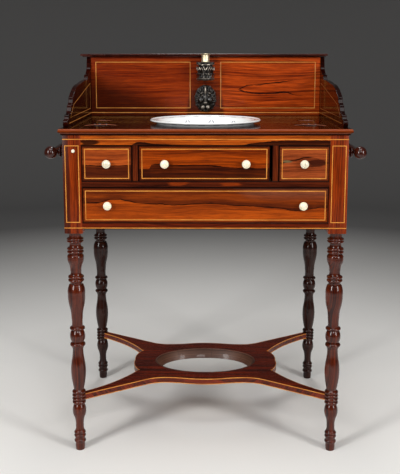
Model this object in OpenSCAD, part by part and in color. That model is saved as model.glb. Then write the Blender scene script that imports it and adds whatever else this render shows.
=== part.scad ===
// Washstand on four turned legs, with a row of three drawers over one long drawer, a basin
// let into its top, a three-sided gallery with a candle sconce, and a towel rail at each end.
// Millimetres, +Z up. The front faces -Y. The origin is on the floor, under the middle of
// the stand's overall box.

/* [Top] */
// How far the top stands proud of the case at each end
top_side = 9; // [2:0.5:20]
// Thickness of the top board
top_t = 15; // [13:0.5:24]
// Height of the top's upper face above the floor
top_z = 845; // [780:5:900]
// How far the top stands proud of the case at the front
top_front = 10.5; // [4:0.5:20]
// How far the top stands proud of the case at the back
top_back = 3; // [0:0.5:12]
// Width of the moulded edge worked round the top's front and ends
edge_w = 6; // [4:0.5:8]
// Diameter of the turned dishes near the front corners
dish_front_d = 86; // [60:2:100]
// Diameter of the turned dishes behind them
dish_rear_d = 50; // [30:2:70]
// Depth of the dishes
dish_depth = 9; // [6:0.5:11]
// Distance of each front dish's centre from the middle of the top
dish_front_x = 270; // [250:2:280]
// Distance of each rear dish's centre from the middle of the top
dish_rear_x = 279; // [240:2:290]
// Distance of the front dishes behind the case's front
dish_front_y = 115; // [80:5:150]
// Distance of the rear dishes behind the case's front
dish_rear_y = 282; // [230:5:330]

/* [Case] */
// Width over the corner posts
case_w = 702; // [650:2:840]
// Depth over the corner posts
case_d = 544; // [480:4:640]
// Side of the square corner posts
post_w = 45; // [40:1:54]
// How far the square posts run below the bottom rail
post_drop = 11.5; // [4:0.5:30]
// Height of the rail under the top
top_rail_h = 26; // [18:1:40]
// Height of the upper drawers' openings
upper_h = 89; // [75:1:110]
// Height of the rail between the drawer rows
mid_rail_h = 15; // [12:1:24]
// Height of the long drawer's opening
lower_h = 89; // [75:1:120]
// Height of the rail under the long drawer
bottom_rail_h = 16.5; // [12:0.5:30]
// Front-to-back thickness of the three rails
rail_t = 22; // [18:1:30]
// Thickness of the two partitions between the upper drawers
partition_t = 15; // [12:1:20]
// Width of the middle drawer's opening
centre_w = 330; // [290:2:360]
// Thickness of the side and back panels
panel_t = 12; // [9:0.5:16]
// How far the panels lie inside the posts' outer faces
panel_in = 2; // [0:0.5:4]
// Thickness of the board between the drawer rows
dust_t = 10; // [6:0.5:12]
// Length of the rails' and panels' tenons
tenon_l = 12; // [8:1:16]
// Thickness of the tenons
tenon_t = 6; // [4:0.5:8]
// Width of the strips that guide the drawers
guide_w = 20; // [14:1:28]
// Height of the strips that guide the drawers
guide_h = 20; // [12:1:30]
// Thickness of the runners under the long drawer
runner_t = 14; // [10:1:16]

/* [Drawers] */
// Thickness of the drawer fronts
front_t = 20; // [16:1:24]
// Thickness of the drawer sides and backs
side_t = 9; // [7:0.5:12]
// Thickness of the drawer bottoms
bottom_t = 6; // [4:0.5:8]
// Height of the drawer bottoms above the sides' lower edges
bottom_up = 5; // [3:0.5:8]
// Depth of the grooves that hold the drawer bottoms
groove_d = 3; // [2:0.5:5]
// Room between the drawers' backs and the back panel
back_room = 25; // [4:1:200]
// Height of the middle drawer's sides, cut low to pass under the basin
tray_h = 27; // [20:1:30]
// How much lower the other drawers' sides are than their fronts
side_low = 4; // [0:0.5:10]
// Running gap at each end of a drawer front
gap_side = 1.8; // [0.6:0.1:2.4]
// Wider gap at the right of the middle drawer
gap_centre = 6.8; // [2:0.2:8]
// Gap above a drawer front
gap_top = 1.8; // [0.5:0.1:3]
// Gap under a drawer
gap_under = 0.3; // [0.2:0.1:0.6]
// Length of the dovetails that hold the fronts
tail_l = 13; // [9:0.5:14]
// Diameter of the bone knobs
knob_d = 20; // [14:0.5:26]
// How far the knobs stand out from the drawers
knob_l = 17; // [13:0.5:22]
// Diameter of the knobs' shanks
shank_d = 6; // [4:0.5:8]
// Distance of the middle drawer's knobs from the middle of the stand
knob_centre_x = 100; // [60:2:130]
// Distance of the long drawer's knobs from the middle of the stand
knob_lower_x = 242; // [150:2:270]

/* [Legs and stretcher] */
// Diameter of the widest turning of the legs
leg_d = 44; // [38:1:52]
// Height of the stretcher's upper face
shelf_z = 152; // [130:1:180]
// Thickness of the stretcher
shelf_t = 16; // [12:0.5:20]
// Half width of the stretcher's waist at its end cusps
cusp_x = 185; // [165:1:215]
// Distance of the end cusps before and behind the stretcher's middle
cusp_y = 78; // [60:1:90]
// Radius of the rounded bottom of each cusp
cusp_r = 3.5; // [1:0.5:5]
// How far the round lobes stand out between the end cusps
lobe_out = 18; // [6:1:30]
// Distance from the middle to where the front and back edges turn into the arms
bow_x = 138; // [110:1:170]
// Length of the soft curve before and after each of those turns
bow_soft = 27; // [10:1:40]
// Distance of those turns before and behind the middle
bow_y = 134; // [118:1:150]
// How far the front and back edges bow out between them
bow_out = 12; // [2:0.5:20]
// Width of the stretcher's arms at the legs
arm_w = 16; // [12:1:26]
// How far the arms' inner edges are hollowed
arm_hollow = 14; // [4:1:20]
// Width of the oval opening inside its lining, at the stretcher's upper face
oval_w = 280; // [180:2:290]
// Depth of that opening
oval_d = 188; // [120:2:196]
// Thickness of the opening's lining at its upper edge
lining_t = 4; // [3:0.5:6]
// Height of the lining
lining_h = 24; // [18:1:36]
// How far the lining slopes in on its way down
lining_in = 15; // [6:0.5:24]
// Diameter of the arms' round tenons
peg_d = 12; // [8:0.5:14]
// Length of the arms' round tenons inside the legs
peg_l = 13; // [8:1:15]

/* [Gallery] */
// Height of the backboard above the top
board_h = 173; // [140:1:220]
// Thickness of the backboard
board_t = 14; // [10:0.5:18]
// Distance of the backboard's face behind the case's front
board_y = 496; // [440:2:512]
// How far the gallery's sides stand inside the top's ends
gallery_in = 4; // [0:0.5:20]
// Thickness of the gallery's sides
gallery_t = 12; // [9:0.5:15]
// Distance of the gallery's front ends behind the case's front
gallery_y = 46; // [20:2:90]
// How far the cap shelf overhangs the gallery's left side
cap_left = 17; // [4:0.5:20]
// How far it overhangs the right side
cap_right = 8; // [4:0.5:20]
// Thickness of the cap shelf
cap_t = 10; // [8:0.5:16]
// How far the cap shelf overhangs the backboard before and behind
cap_over = 15; // [8:0.5:18]

/* [Basin] */
// Outer diameter of the basin's rim
basin_d = 292; // [270:2:304]
// Diameter of the hole in the top that holds the basin
hole_d = 246; // [220:2:256]
// Height of the rim above the top
rim_up = 11; // [7:0.5:18]
// Depth of the bowl below the top
bowl_deep = 94; // [60:1:96]
// Thickness of the basin's wall
wall = 5; // [4:0.5:7]
// Diameter of the basin's foot ring
foot_d = 112; // [80:2:130]
// Distance of the basin's middle behind the case's front
basin_y = 180; // [165:5:230]

/* [Towel rails] */
// Height of the rails above the floor
rail_z = 786; // [740:2:800]
// Distance of the rails' axes outside the case's ends
rail_out = 29.5; // [24:0.5:45]
// Diameter of the rails
rail_d = 15; // [10:0.5:20]
// Diameter of the ball at each end of a rail
ball_d = 30; // [22:1:36]
// Distance from an arm's axis to the ball's middle
ball_off = 22; // [18:1:30]
// Diameter of the collar against the post
collar_d = 27; // [20:1:34]
// Diameter of the arms' round tenons
arm_peg_d = 14; // [8:0.5:18]
// Length of the arms' round tenons inside the posts
arm_peg_l = 35; // [20:1:38]
// Diameter of the bone pin that locks the left front arm
pin_d = 4; // [3:0.5:5]
// Distance of the pin from the case's left end
pin_x = 26; // [20:0.5:32]
// Height of the pin above the arm's axis
pin_up = 4; // [0:0.5:4]

/* [Sconce] */
// Height of the mask's middle above the top
mask_z = 50; // [44:1:60]
// Width of the oval mask
mask_w = 64; // [50:1:72]
// Height of the oval mask
mask_h = 82; // [70:1:86]
// Thickness of the mask's plate
plate_t = 5; // [3:0.5:7]
// Height of the foliate capital's base above the top
capital_z = 105; // [102:1:112]
// Height of the capital
capital_h = 53; // [44:1:54]
// Width of the capital
capital_w = 58; // [48:1:60]
// Distance of the nozzle's axis from the backboard
nozzle_out = 33; // [31:0.5:42]
// Diameter of the candle nozzle
nozzle_d = 26; // [24:0.5:30]
// Height of the candle nozzle
nozzle_h = 25; // [18:0.5:30]
// Diameter of the candle hole
candle_d = 22; // [18:0.5:23]
// Depth of the candle hole
candle_l = 20; // [12:0.5:24]

/* [Stringing] */
// Width of the boxwood lines
line_w = 2; // [1:0.25:3]
// Depth of the boxwood lines
line_d = 1; // [0.5:0.25:1.5]
// Distance of a drawer's line from its edges
drawer_line = 6.2; // [4:0.2:10]
// Distance of a post's panel line from the post's edges
post_line = 5; // [4:0.2:9]
// Depth of the rail's line below the top
rail_line = 11; // [6:0.5:16]
// Distance of a backboard panel's line from the sides and the middle strip
panel_line = 14; // [10:1:24]
// Half width of the plain strip in the middle of the backboard
strip_x = 45; // [36:1:60]
// Height of the lowest gallery line above the top
low_line = 6.5; // [4:0.5:12]
// Height of the gallery's panel lines above the top
base_line = 20.5; // [16:0.5:30]
// Distance of a side's panel line behind the side's front end
side_line_y = 50; // [40:1:80]
// Length of the steep first rise of a side's panel line
side_line_rise = 62; // [40:1:90]
// Distance of a side's low line behind the side's front end
low_line_y = 30; // [20:1:50]

/* [Hidden] */
$fn = 64;
eps = 0.01;

// Levels of the case, from the top down
case_top = top_z - top_t;
upper_top = case_top - top_rail_h;
upper_bottom = upper_top - upper_h;
lower_top = upper_bottom - mid_rail_h;
lower_bottom = lower_top - lower_h;
case_bottom = lower_bottom - bottom_rail_h;
block_z = case_bottom - post_drop;

// Widths, from the middle out
top_w = case_w + 2 * top_side;
gallery_w = top_w - 2 * gallery_in;
cap_w = gallery_w + cap_left + cap_right;
inner_x = case_w / 2 - post_w;
panel_x = case_w / 2 - panel_in - panel_t;
partition_x = centre_w / 2;
side_open_x = partition_x + partition_t;
axis_x = case_w / 2 - post_w / 2;
axis_y = post_w / 2;
back_y = case_d - panel_in - panel_t;
drawer_d = back_y - back_room;
rail_x = case_w / 2 + rail_out;

// The frame's middle, from the knobs' ends to the rear balls
near_y = -max(knob_l, top_front, ball_d / 2 + ball_off - axis_y);
far_y = max(case_d - axis_y + ball_off + ball_d / 2, case_d + top_back);
front_y = -(near_y + far_y) / 2;

play = 0.05;           // radial room round a round tenon or a shank
shelf_mid = case_d / 2;
capital_y = board_y - nozzle_out;
nozzle_z = top_z + capital_z + capital_h;

rosewood = [0.42, 0.13, 0.05];
dark_rosewood = [0.24, 0.08, 0.05];
boxwood = [0.85, 0.58, 0.27];
oak = [0.62, 0.45, 0.27];
pale_wood = [0.45, 0.34, 0.27];
bone = [0.95, 0.92, 0.80];
bronze = [0.12, 0.10, 0.08];

// Points of an arc from p to q, without q. A positive sagitta bulges to the left of the way
function arc(p, q, sag, n) =
    let (c = norm(q - p), r = (c * c / 4 + sag * sag) / (2 * abs(sag)), u = (q - p) / c,
         mid = (p + q) / 2 - sign(sag) * (r - abs(sag)) * [-u[1], u[0]],
         a = atan2(p[1] - mid[1], p[0] - mid[0]), turn = -sign(sag) * 2 * asin(c / 2 / r))
    [for (i = [0 : n - 1]) mid + r * [cos(a + turn * i / n), sin(a + turn * i / n)]];

// Path through keys [x, y, sagitta to the next key]
function path(keys, n = 6) =
    [for (i = [0 : len(keys) - 1])
        let (p = [keys[i][0], keys[i][1]], k = keys[(i + 1) % len(keys)])
        each (keys[i][2] == 0 ? [p] : arc(p, [k[0], k[1]], keys[i][2], n))];

// A closed path drawn in by a distance, for a path that runs anticlockwise
function unit(v) = v / norm(v);
function inset(pts, d) =
    [for (i = [0 : len(pts) - 1])
        let (a = unit(pts[i] - pts[(i + len(pts) - 1) % len(pts)]),
             b = unit(pts[(i + 1) % len(pts)] - pts[i]),
             m = [-a[1], a[0]] + [-b[1], b[0]])
        pts[i] + d * m / max(0.4, 1 + a * b)];

// Mirror image of a path, in reverse order
function flip_x(pts) = [for (i = [len(pts) - 1 : -1 : 0]) [-pts[i][0], pts[i][1]]];
function flip_y(pts, y) = [for (i = [len(pts) - 1 : -1 : 0]) [pts[i][0], 2 * y - pts[i][1]]];

module at_front() { translate([0, front_y, 0]) children(); }
module block(a, b) { translate(a) cube(b - a); }
// Extrudes an outline drawn in Y and Z along X, from x0 to x1
module along_x(x0, x1) {
    translate([x0, 0, 0]) rotate([90, 0, 90]) linear_extrude(x1 - x0) children();
}
// Extrudes an outline drawn in X and Z along Y, from y0 to y1
module along_y(y0, y1) {
    translate([0, y1, 0]) rotate([90, 0, 0]) linear_extrude(y1 - y0) children();
}
// A boxwood line round a rectangle on a face that looks to -Y
module line_frame(x0, z0, x1, z1, y) {
    difference() {
        block([x0, y, z0], [x1, y + line_d, z1]);
        block([x0 + line_w, y - eps, z0 + line_w], [x1 - line_w, y + line_d + eps, z1 - line_w]);
    }
}

// ---------- Legs ----------

// The turned part as keys [height, radius, bulge to the next key], for the widest radius 22
turning = [
    [0, 11, 0.6], [17, 12, 0], [20, 12.5, 2.5], [29, 12.5, 0], [34.5, 12.5, 2.5],
    [43.2, 12.5, 2.5], [52, 12.5, -1], [66, 10.5, -1.2], [90, 13.4, 4.2], [126, 13.4, 0],
    [127, 14.5, 3], [136.2, 14.5, 3], [145.5, 14.5, 3], [154.8, 14.5, 3], [164, 14.5, 0],
    [166, 12.5, 1.2], [213, 19.2, 0.8], [245, 16.5, -0.8], [276, 13.5, 0], [283, 16, 3.5],
    [293, 16, 0], [294, 14.5, 5], [327, 14.5, 0], [327.5, 16, 3.5], [335.5, 16, 0],
    [337, 14, -0.6], [360, 14.6, -1], [390, 19, 1], [421, 22, 1.8], [447, 18, 0],
    [449, 15, -0.6], [454.5, 17, 3], [463, 17, 3], [471.2, 17, 0], [472, 14.5, -0.8],
    [484, 14.2, -1], [502, 18, 1], [517, 20.7, 1.8], [527, 16.5, 0], [528.5, 17.5, 3.3],
    [536.6, 17.5, 3.3], [544.6, 17.5, 0], [545, 15.5, -1], [556.6, 15.5, 0], [557, 18, 3],
    [563, 18, 3], [569, 18, 0], [569.5, 15.5, -0.8], [583, 17, 0]
];
turned_top = turning[len(turning) - 1][0];
rings_top = turning[14][0];         // where the rings that hold the stretcher end
thick = leg_d / 2 / max([for (t = turning) t[1]]);
low_scale = shelf_z / 152;
bedded = 0.5;                       // how far the turning runs up into the post
high_scale = (block_z + bedded - rings_top * low_scale) / (turned_top - rings_top);
ring_r = 17.5 * thick;              // radius of the rings that hold the stretcher
function turned_z(h) =
    h <= rings_top ? h * low_scale : block_z + bedded - (turned_top - h) * high_scale;
function leg_outline() =
    concat([[0, 0]], path([for (t = turning) [t[1] * thick, turned_z(t[0]), -t[2] * thick]], 5),
           [[0, block_z + bedded]]);

// Tenons of the rails and panels, which the posts have mortises for
module rail_tenon(x_side, z0, z1) {
    inner = x_side * (inner_x - eps);
    outer = x_side * (inner_x + tenon_l);
    block([min(inner, outer), rail_t / 2 - tenon_t / 2, z0],
          [max(inner, outer), rail_t / 2 + tenon_t / 2, z1]);
}
module rail_tenons(x_side) {
    rail_tenon(x_side, case_top - top_rail_h * 0.75, case_top - top_rail_h * 0.25);
    rail_tenon(x_side, lower_top + mid_rail_h * 0.2, lower_top + mid_rail_h * 0.8);
    rail_tenon(x_side, case_bottom + bottom_rail_h * 0.2, case_bottom + bottom_rail_h * 0.8);
}
panel_mid = panel_in + panel_t / 2;
panel_cheek = 12;      // plain wood above and below a panel's tenons
module side_tenon(x_side, y_end) {
    x = x_side * (case_w / 2 - panel_mid);
    y0 = y_end == 0 ? post_w - tenon_l : case_d - post_w - eps;
    y1 = y_end == 0 ? post_w + eps : case_d - post_w + tenon_l;
    block([x - tenon_t / 2, y0, case_bottom + panel_cheek], [x + tenon_t / 2, y1, case_top - panel_cheek]);
}
module back_tenon(x_side) {
    y = case_d - panel_mid;
    inner = x_side * (inner_x - eps);
    outer = x_side * (inner_x + tenon_l);
    block([min(inner, outer), y - tenon_t / 2, case_bottom + panel_cheek],
          [max(inner, outer), y + tenon_t / 2, case_top - panel_cheek]);
}
// Direction of a stretcher arm, seen from the leg at -X, front
arm_turn = atan2(shelf_mid - bow_y / 2 - cusp_y / 2 - axis_y, axis_x - (bow_x + cusp_x) / 2);
module arm_peg(extra) {
    translate([0, 0, shelf_z - shelf_t / 2]) rotate([0, 90, 0])
        translate([0, 0, ring_r - peg_l]) cylinder(d = peg_d + 2 * extra, h = peg_l + 1);
}
module arm_tenon(x_side, extra) {
    translate([x_side * (case_w / 2 + eps), axis_y, rail_z]) rotate([0, -90 * x_side, 0])
        cylinder(d = arm_peg_d + 2 * extra, h = arm_peg_l + eps);
}
module bone_pin_hole(extra) {
    translate([-case_w / 2 + pin_x, -eps, rail_z + pin_up]) rotate([-90, 0, 0])
        cylinder(d = pin_d + 2 * extra, h = axis_y + arm_peg_d / 2);
}
module leg(x_side, y_side) {
    x = x_side * axis_x;
    y = y_side < 0 ? axis_y : case_d - axis_y;
    y_end = y_side < 0 ? 0 : 1;
    difference() {
        union() {
            translate([x, y, 0]) rotate_extrude() polygon(leg_outline());
            block([x - post_w / 2, y - post_w / 2, block_z], [x + post_w / 2, y + post_w / 2, case_top]);
        }
        if (y_side < 0) rail_tenons(x_side); else back_tenon(x_side);
        side_tenon(x_side, y_end);
        if (y_side < 0) arm_tenon(x_side, play);
        else translate([0, case_d - 2 * axis_y, 0]) arm_tenon(x_side, play);
        at_legs() arm_peg(play);
        if (y_side < 0) case_lines();
        if (y_side < 0 && x_side < 0) bone_pin_hole(play);
    }
}
module leg_front_left() { color(dark_rosewood) at_front() leg(-1, -1); }
module leg_front_right() { color(dark_rosewood) at_front() leg(1, -1); }
module leg_rear_left() { color(dark_rosewood) at_front() leg(-1, 1); }
module leg_rear_right() { color(dark_rosewood) at_front() leg(1, 1); }

// ---------- Case ----------

module side_panel(x_side) {
    x = x_side * (case_w / 2 - panel_mid);
    color(rosewood) at_front() {
        block([x - panel_t / 2, post_w, case_bottom], [x + panel_t / 2, case_d - post_w, case_top]);
        side_tenon(x_side, 0);
        side_tenon(x_side, 1);
    }
}
module side_panel_left() { side_panel(-1); }
module side_panel_right() { side_panel(1); }

module back_panel() {
    color(oak) at_front() {
        block([-inner_x, back_y, case_bottom], [inner_x, back_y + panel_t, case_top]);
        back_tenon(-1);
        back_tenon(1);
    }
}

// Boxwood lines of the case: along the rails, across the posts, and round each post's panel
module case_lines() {
    top_line = case_top - rail_line;
    block([-case_w / 2, 0, top_line - line_w / 2], [case_w / 2, line_d, top_line + line_w / 2]);
    block([-case_w / 2, 0, case_bottom + line_w], [case_w / 2, line_d, case_bottom + 2 * line_w]);
    for (s = [-1, 1]) {
        x0 = s * (inner_x + post_line);
        x1 = s * (case_w / 2 - post_line);
        line_frame(min(x0, x1), lower_bottom, max(x0, x1), upper_top, 0);
    }
}

module rail(z0, z1) {
    difference() {
        block([-inner_x, 0, z0], [inner_x, rail_t, z1]);
        case_lines();
    }
    intersection() {
        union() { rail_tenons(-1); rail_tenons(1); }
        block([-case_w, 0, z0], [case_w, rail_t, z1]);
    }
}
module top_rail() {
    color(rosewood) at_front() rail(upper_top, case_top);
}
module mid_rail() { color(rosewood) at_front() rail(lower_top, upper_bottom); }
module bottom_rail() { color(rosewood) at_front() rail(case_bottom, lower_bottom); }

// A partition stands on the middle rail and the dust board, and is notched round the top rail
module partition(x_side) {
    x = x_side * (partition_x + partition_t / 2);
    color(rosewood) at_front() along_x(x - partition_t / 2, x + partition_t / 2)
        polygon([[0, upper_bottom], [back_y, upper_bottom], [back_y, case_top],
                 [rail_t, case_top], [rail_t, upper_top], [0, upper_top]]);
}
module partition_left() { partition(-1); }
module partition_right() { partition(1); }

// The board between the drawer rows, notched round the posts
module dust_board() {
    color(oak) at_front() difference() {
        block([-panel_x, rail_t, upper_bottom - dust_t], [panel_x, back_y, upper_bottom]);
        for (s = [-1, 1], y = [[-eps, post_w], [case_d - post_w, case_d]])
            block([min(s * inner_x, s * case_w), y[0], lower_top - dust_t],
                  [max(s * inner_x, s * case_w), y[1], upper_bottom + eps]);
    }
}

// Strips that keep the small drawers straight, on the dust board along each end
module upper_guides() {
    color(oak) at_front() for (s = [-1, 1])
        block([min(s * inner_x, s * (inner_x + guide_w)), post_w, upper_bottom],
              [max(s * inner_x, s * (inner_x + guide_w)), case_d - post_w, upper_bottom + guide_h]);
}

// Runners under the long drawer, each with its guide, between the posts along each end
module lower_runners() {
    reach = inner_x - gap_side - side_t * 1.45;
    color(oak) at_front() for (s = [-1, 1]) {
        difference() {
            union() {
                block([min(s * reach, s * panel_x), rail_t, lower_bottom - runner_t],
                      [max(s * reach, s * panel_x), back_y, lower_bottom]);
                block([min(s * inner_x, s * panel_x), post_w, lower_bottom - eps],
                      [max(s * inner_x, s * panel_x), case_d - post_w, lower_bottom + guide_h]);
            }
            for (y = [[-eps, post_w], [case_d - post_w, case_d]])
                block([min(s * inner_x, s * case_w), y[0], case_bottom - 1],
                      [max(s * inner_x, s * case_w), y[1], lower_bottom + guide_h + 1]);
        }
    }
}

// ---------- Top ----------

// Section of a moulded edge at the left of a board, from its lower face to its upper one:
// a cove under a square edge with a rounded arris
function moulded(x, z0, z1, w) =
    path([[x + w, z0, 0], [x + w, z0 + 1, -(w * 0.22)], [x + 1, z0 + (z1 - z0) * 0.42, 0],
          [x, z0 + (z1 - z0) * 0.42, 0], [x, z1 - (z1 - z0) * 0.28, 0],
          [x + 0.6, z1 - (z1 - z0) * 0.28, 0.9], [x + w * 0.5, z1, 0]], 5);
function moulded_front(y0, y1, z0, z1, w) =
    concat([[y1, z0]], moulded(y0, z0, z1, w), [[y1, z1]]);
function moulded_ends(x, z0, z1, w) =
    concat(moulded(-x, z0, z1, w), flip_x(moulded(-x, z0, z1, w)));

module dish(x, y, d) {
    // A turned dish: flat floor and a wall that flares up to the rim
    translate([x, y, 0]) rotate_extrude() polygon(concat(
        [[0, top_z - dish_depth]],
        path([[d / 2 - dish_depth * 0.8, top_z - dish_depth, -dish_depth * 0.16],
              [d / 2, top_z, 0]], 5),
        [[d / 2, top_z + 1], [0, top_z + 1]]));
}

module top_board() {
    y1 = case_d + top_back;
    color(rosewood) at_front() difference() {
        intersection() {
            along_x(-top_w, top_w) polygon(moulded_front(-top_front, y1, case_top, top_z, edge_w));
            along_y(-top_front - 1, y1 + 1) polygon(moulded_ends(top_w / 2, case_top, top_z, edge_w));
        }
        translate([0, basin_y, case_top - 1]) cylinder(d = hole_d, h = top_t + 2);
        for (s = [-1, 1]) {
            dish(s * dish_front_x, dish_front_y, dish_front_d);
            dish(s * dish_rear_x, dish_rear_y, dish_rear_d);
        }
    }
}

// ---------- Gallery ----------

board_top = top_z + board_h;
end_x = gallery_w / 2 - gallery_t;   // inner faces of the gallery's sides

// Outline of a side in Y and Z, from its lower front corner and anticlockwise. Lengths are
// taken from the front end and from the backboard, so both follow their own sizes
function side_outline() =
    let (y = gallery_y, z = top_z, b = board_y, r = (board_y - gallery_y) / 450,
         rise = (board_h) / 173)
    path([[y + 4, z, 0], [b + board_t, z, 0], [b + board_t, board_top, 0], [b, board_top, 0],
          [b - 8 * r, z + 142 * rise, 7], [b - 62 * r, z + 122 * rise, 0],
          [b - 66 * r, z + 122 * rise, 3], [b - 70 * r, z + 112 * rise, 0],
          [b - 73 * r, z + 108 * rise, -2], [b - 212 * r, z + 100 * rise, -8],
          [y + 104 * r, z + 72 * rise, 0], [y + 101 * r, z + 71 * rise, -2.5],
          [y + 95 * r, z + 64 * rise, 0], [y + 93 * r, z + 62 * rise, 3],
          [y + 78 * r, z + 52 * rise, 0], [y + 76 * r, z + 52 * rise, -2.5],
          [y + 69 * r, z + 46 * rise, 0], [y + 66 * r, z + 44 * rise, 5],
          [y + 36 * r, z + 29 * rise, 0], [y + 33 * r, z + 29 * rise, -2.5],
          [y + 25 * r, z + 23 * rise, 0], [y + 22 * r, z + 20 * rise, 1.5],
          [y + 12 * r, z + 17 * rise, -3.5], [y, z + 8 * rise, -1.2]], 5);

// Lines on a side's inner face: a three-cornered panel over one low line
module side_lines(x_side) {
    z1 = top_z + base_line;
    y0 = gallery_y + side_line_y;
    y1 = board_y - panel_line - 10;
    z2 = top_z + board_h * 0.56;
    tri = [[y0, z1], [y1, z1], [y1, z2], [y0 + side_line_rise, z1 + board_h * 0.185]];
    x = x_side * end_x;
    along_x(min(x, x + x_side * line_d), max(x, x + x_side * line_d)) {
        difference() {
            polygon(tri);
            polygon(inset(tri, line_w));
        }
        translate([gallery_y + low_line_y, top_z + low_line])
            square([board_y - gallery_y - low_line_y, line_w]);
    }
}
module gallery_side(x_side) {
    x = x_side * gallery_w / 2;
    color(dark_rosewood) at_front() difference() {
        along_x(min(x, x_side * end_x), max(x, x_side * end_x)) polygon(side_outline());
        side_lines(x_side);
    }
}
module gallery_side_left() { gallery_side(-1); }
module gallery_side_right() { gallery_side(1); }

// Lines on the backboard: a panel each side of the sconce over one low line
module board_lines() {
    z1 = top_z + base_line;
    for (s = [-1, 1]) {
        x0 = s * strip_x;
        x1 = s * (end_x - panel_line);
        line_frame(min(x0, x1), z1, max(x0, x1), board_top - panel_line, board_y);
    }
    block([-end_x, board_y, top_z + low_line], [end_x, board_y + line_d, top_z + low_line + line_w]);
}
module screw_holes(extra) {
    for (z = [top_z + mask_z, top_z + capital_z + capital_h * 0.6])
        translate([0, board_y - plate_t - eps, z]) rotate([-90, 0, 0])
            cylinder(d = 4 + 2 * extra, h = board_t + plate_t + 2 * eps);
}
module backboard() {
    color(rosewood) at_front() difference() {
        block([-end_x, board_y, top_z], [end_x, board_y + board_t, board_top]);
        board_lines();
        screw_holes(play);
    }
}
module cap_shelf() {
    y0 = board_y - cap_over;
    y1 = board_y + board_t + cap_over;
    z1 = board_top + cap_t;
    color(dark_rosewood) at_front() intersection() {
        along_x(-cap_w, cap_w) polygon(moulded_front(y0, y1, board_top, z1, edge_w));
        translate([(cap_right - cap_left) / 2, 0]) along_y(y0 - 1, y1 + 1)
            polygon(moulded_ends(cap_w / 2, board_top, z1, edge_w));
    }
}

// ---------- Stretcher ----------

// Sagitta of an arc from p to q whose direction turns by an angle on the way
function bend(p, q, turn) = norm(q - p) / 2 * tan(turn / 4);
// One quarter of the outline, from the middle of the front edge to the middle of an end. The
// edge bows out in the middle, hollows in, and turns into the arm, whose end is a chord of
// the leg's ring
function quarter() =
    let (n = [-sin(arm_turn), -cos(arm_turn)] * arm_w / 2, c = [axis_x, axis_y],
         turn_at = [bow_x, shelf_mid - bow_y], way = unit(c + n - turn_at),
         start = turn_at - [bow_soft, 0], end = turn_at + bow_soft * way,
         middle = start - [start[0], bow_out], halfway = (start + middle) / 2,
         sway = bend(middle, halfway, 2 * atan2(bow_out, start[0])),
         cusp = [cusp_x + cusp_r, shelf_mid - cusp_y])
    path([[middle[0], middle[1], -sway], [halfway[0], halfway[1], sway],
          [start[0], start[1], bend(start, end, atan2(-way[1], way[0]))], [end[0], end[1], 0],
          [c[0] + n[0], c[1] + n[1], 0], [c[0] - n[0], c[1] - n[1], arm_hollow],
          [cusp[0], cusp[1] - cusp_r, cusp_r * 0.99], [cusp[0], cusp[1] + cusp_r, -lobe_out * 0.35],
          [cusp_x + lobe_out, shelf_mid, 0]], 6);
function shelf_outline() =
    let (q = quarter(), right = concat(q, flip_y([for (i = [1 : len(q) - 2]) q[i]], shelf_mid)),
         end = [[0, 2 * shelf_mid - q[0][1]]])
    concat(right, end, flip_x([for (i = [1 : len(right) - 1]) right[i]]));

module shelf_plan(d) { polygon(d == 0 ? shelf_outline() : inset(shelf_outline(), d)); }
module at_legs() {
    for (x = [-1, 1], y = [0, 1])
        translate([x * axis_x, y == 0 ? axis_y : case_d - axis_y, 0])
            rotate([0, 0, x < 0 ? (y == 0 ? arm_turn : -arm_turn) : 180 - (y == 0 ? arm_turn : -arm_turn)])
                children();
}
module shelf_clear() {
    at_legs() translate([0, 0, shelf_z - shelf_t - 1]) cylinder(r = ring_r, h = shelf_t + 2);
}
// Boxwood lines let into the stretcher's upper and lower arrises
module shelf_lines() {
    difference() {
        for (z = [shelf_z - line_w, shelf_z - shelf_t]) translate([0, 0, z]) linear_extrude(line_w)
            difference() {
                shelf_plan(0);
                shelf_plan(line_d);
            }
        shelf_clear();
    }
}
module stretcher() {
    color(rosewood) at_front() {
        difference() {
            translate([0, 0, shelf_z - shelf_t]) linear_extrude(shelf_t) difference() {
                shelf_plan(0);
                translate([0, shelf_mid]) oval(lining_t + play);
            }
            shelf_clear();
            shelf_lines();
        }
        at_legs() arm_peg(0);
    }
}

// The opening's outline, grown by a distance
module oval(grown) {
    polygon([for (a = [0 : 5 : 355])
        [(oval_w / 2 + grown) * cos(a), (oval_d / 2 + grown) * sin(a)]]);
}
// A wall that slopes in from the opening's outline, grown by a distance, as it goes down from
// the stretcher's upper face
module sloping_wall(grown, depth) {
    ends = [for (d = [oval_w, oval_d]) d / 2 + grown];
    drawn = lining_in * depth / lining_h;
    mirror([0, 0, 1])
        linear_extrude(depth, scale = [for (e = ends) (e - drawn) / e], slices = 1, $fn = 16) oval(grown);
}
// The lining is upright outside where it is let into the stretcher, and slopes in below it
module stretcher_lining() {
    color(pale_wood) at_front() translate([0, shelf_mid, shelf_z]) difference() {
        union() {
            translate([0, 0, -shelf_t]) linear_extrude(shelf_t) oval(lining_t);
            sloping_wall(lining_t, lining_h);
        }
        translate([0, 0, eps]) sloping_wall(0, lining_h + 2 * eps);
    }
}

// ---------- Stringing ----------

module case_stringing() { color(boxwood) at_front() case_lines(); }
module gallery_stringing() {
    color(boxwood) at_front() {
        board_lines();
        side_lines(-1);
        side_lines(1);
    }
}
module stretcher_stringing() { color(boxwood) at_front() shelf_lines(); }

// ---------- Basin ----------

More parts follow.
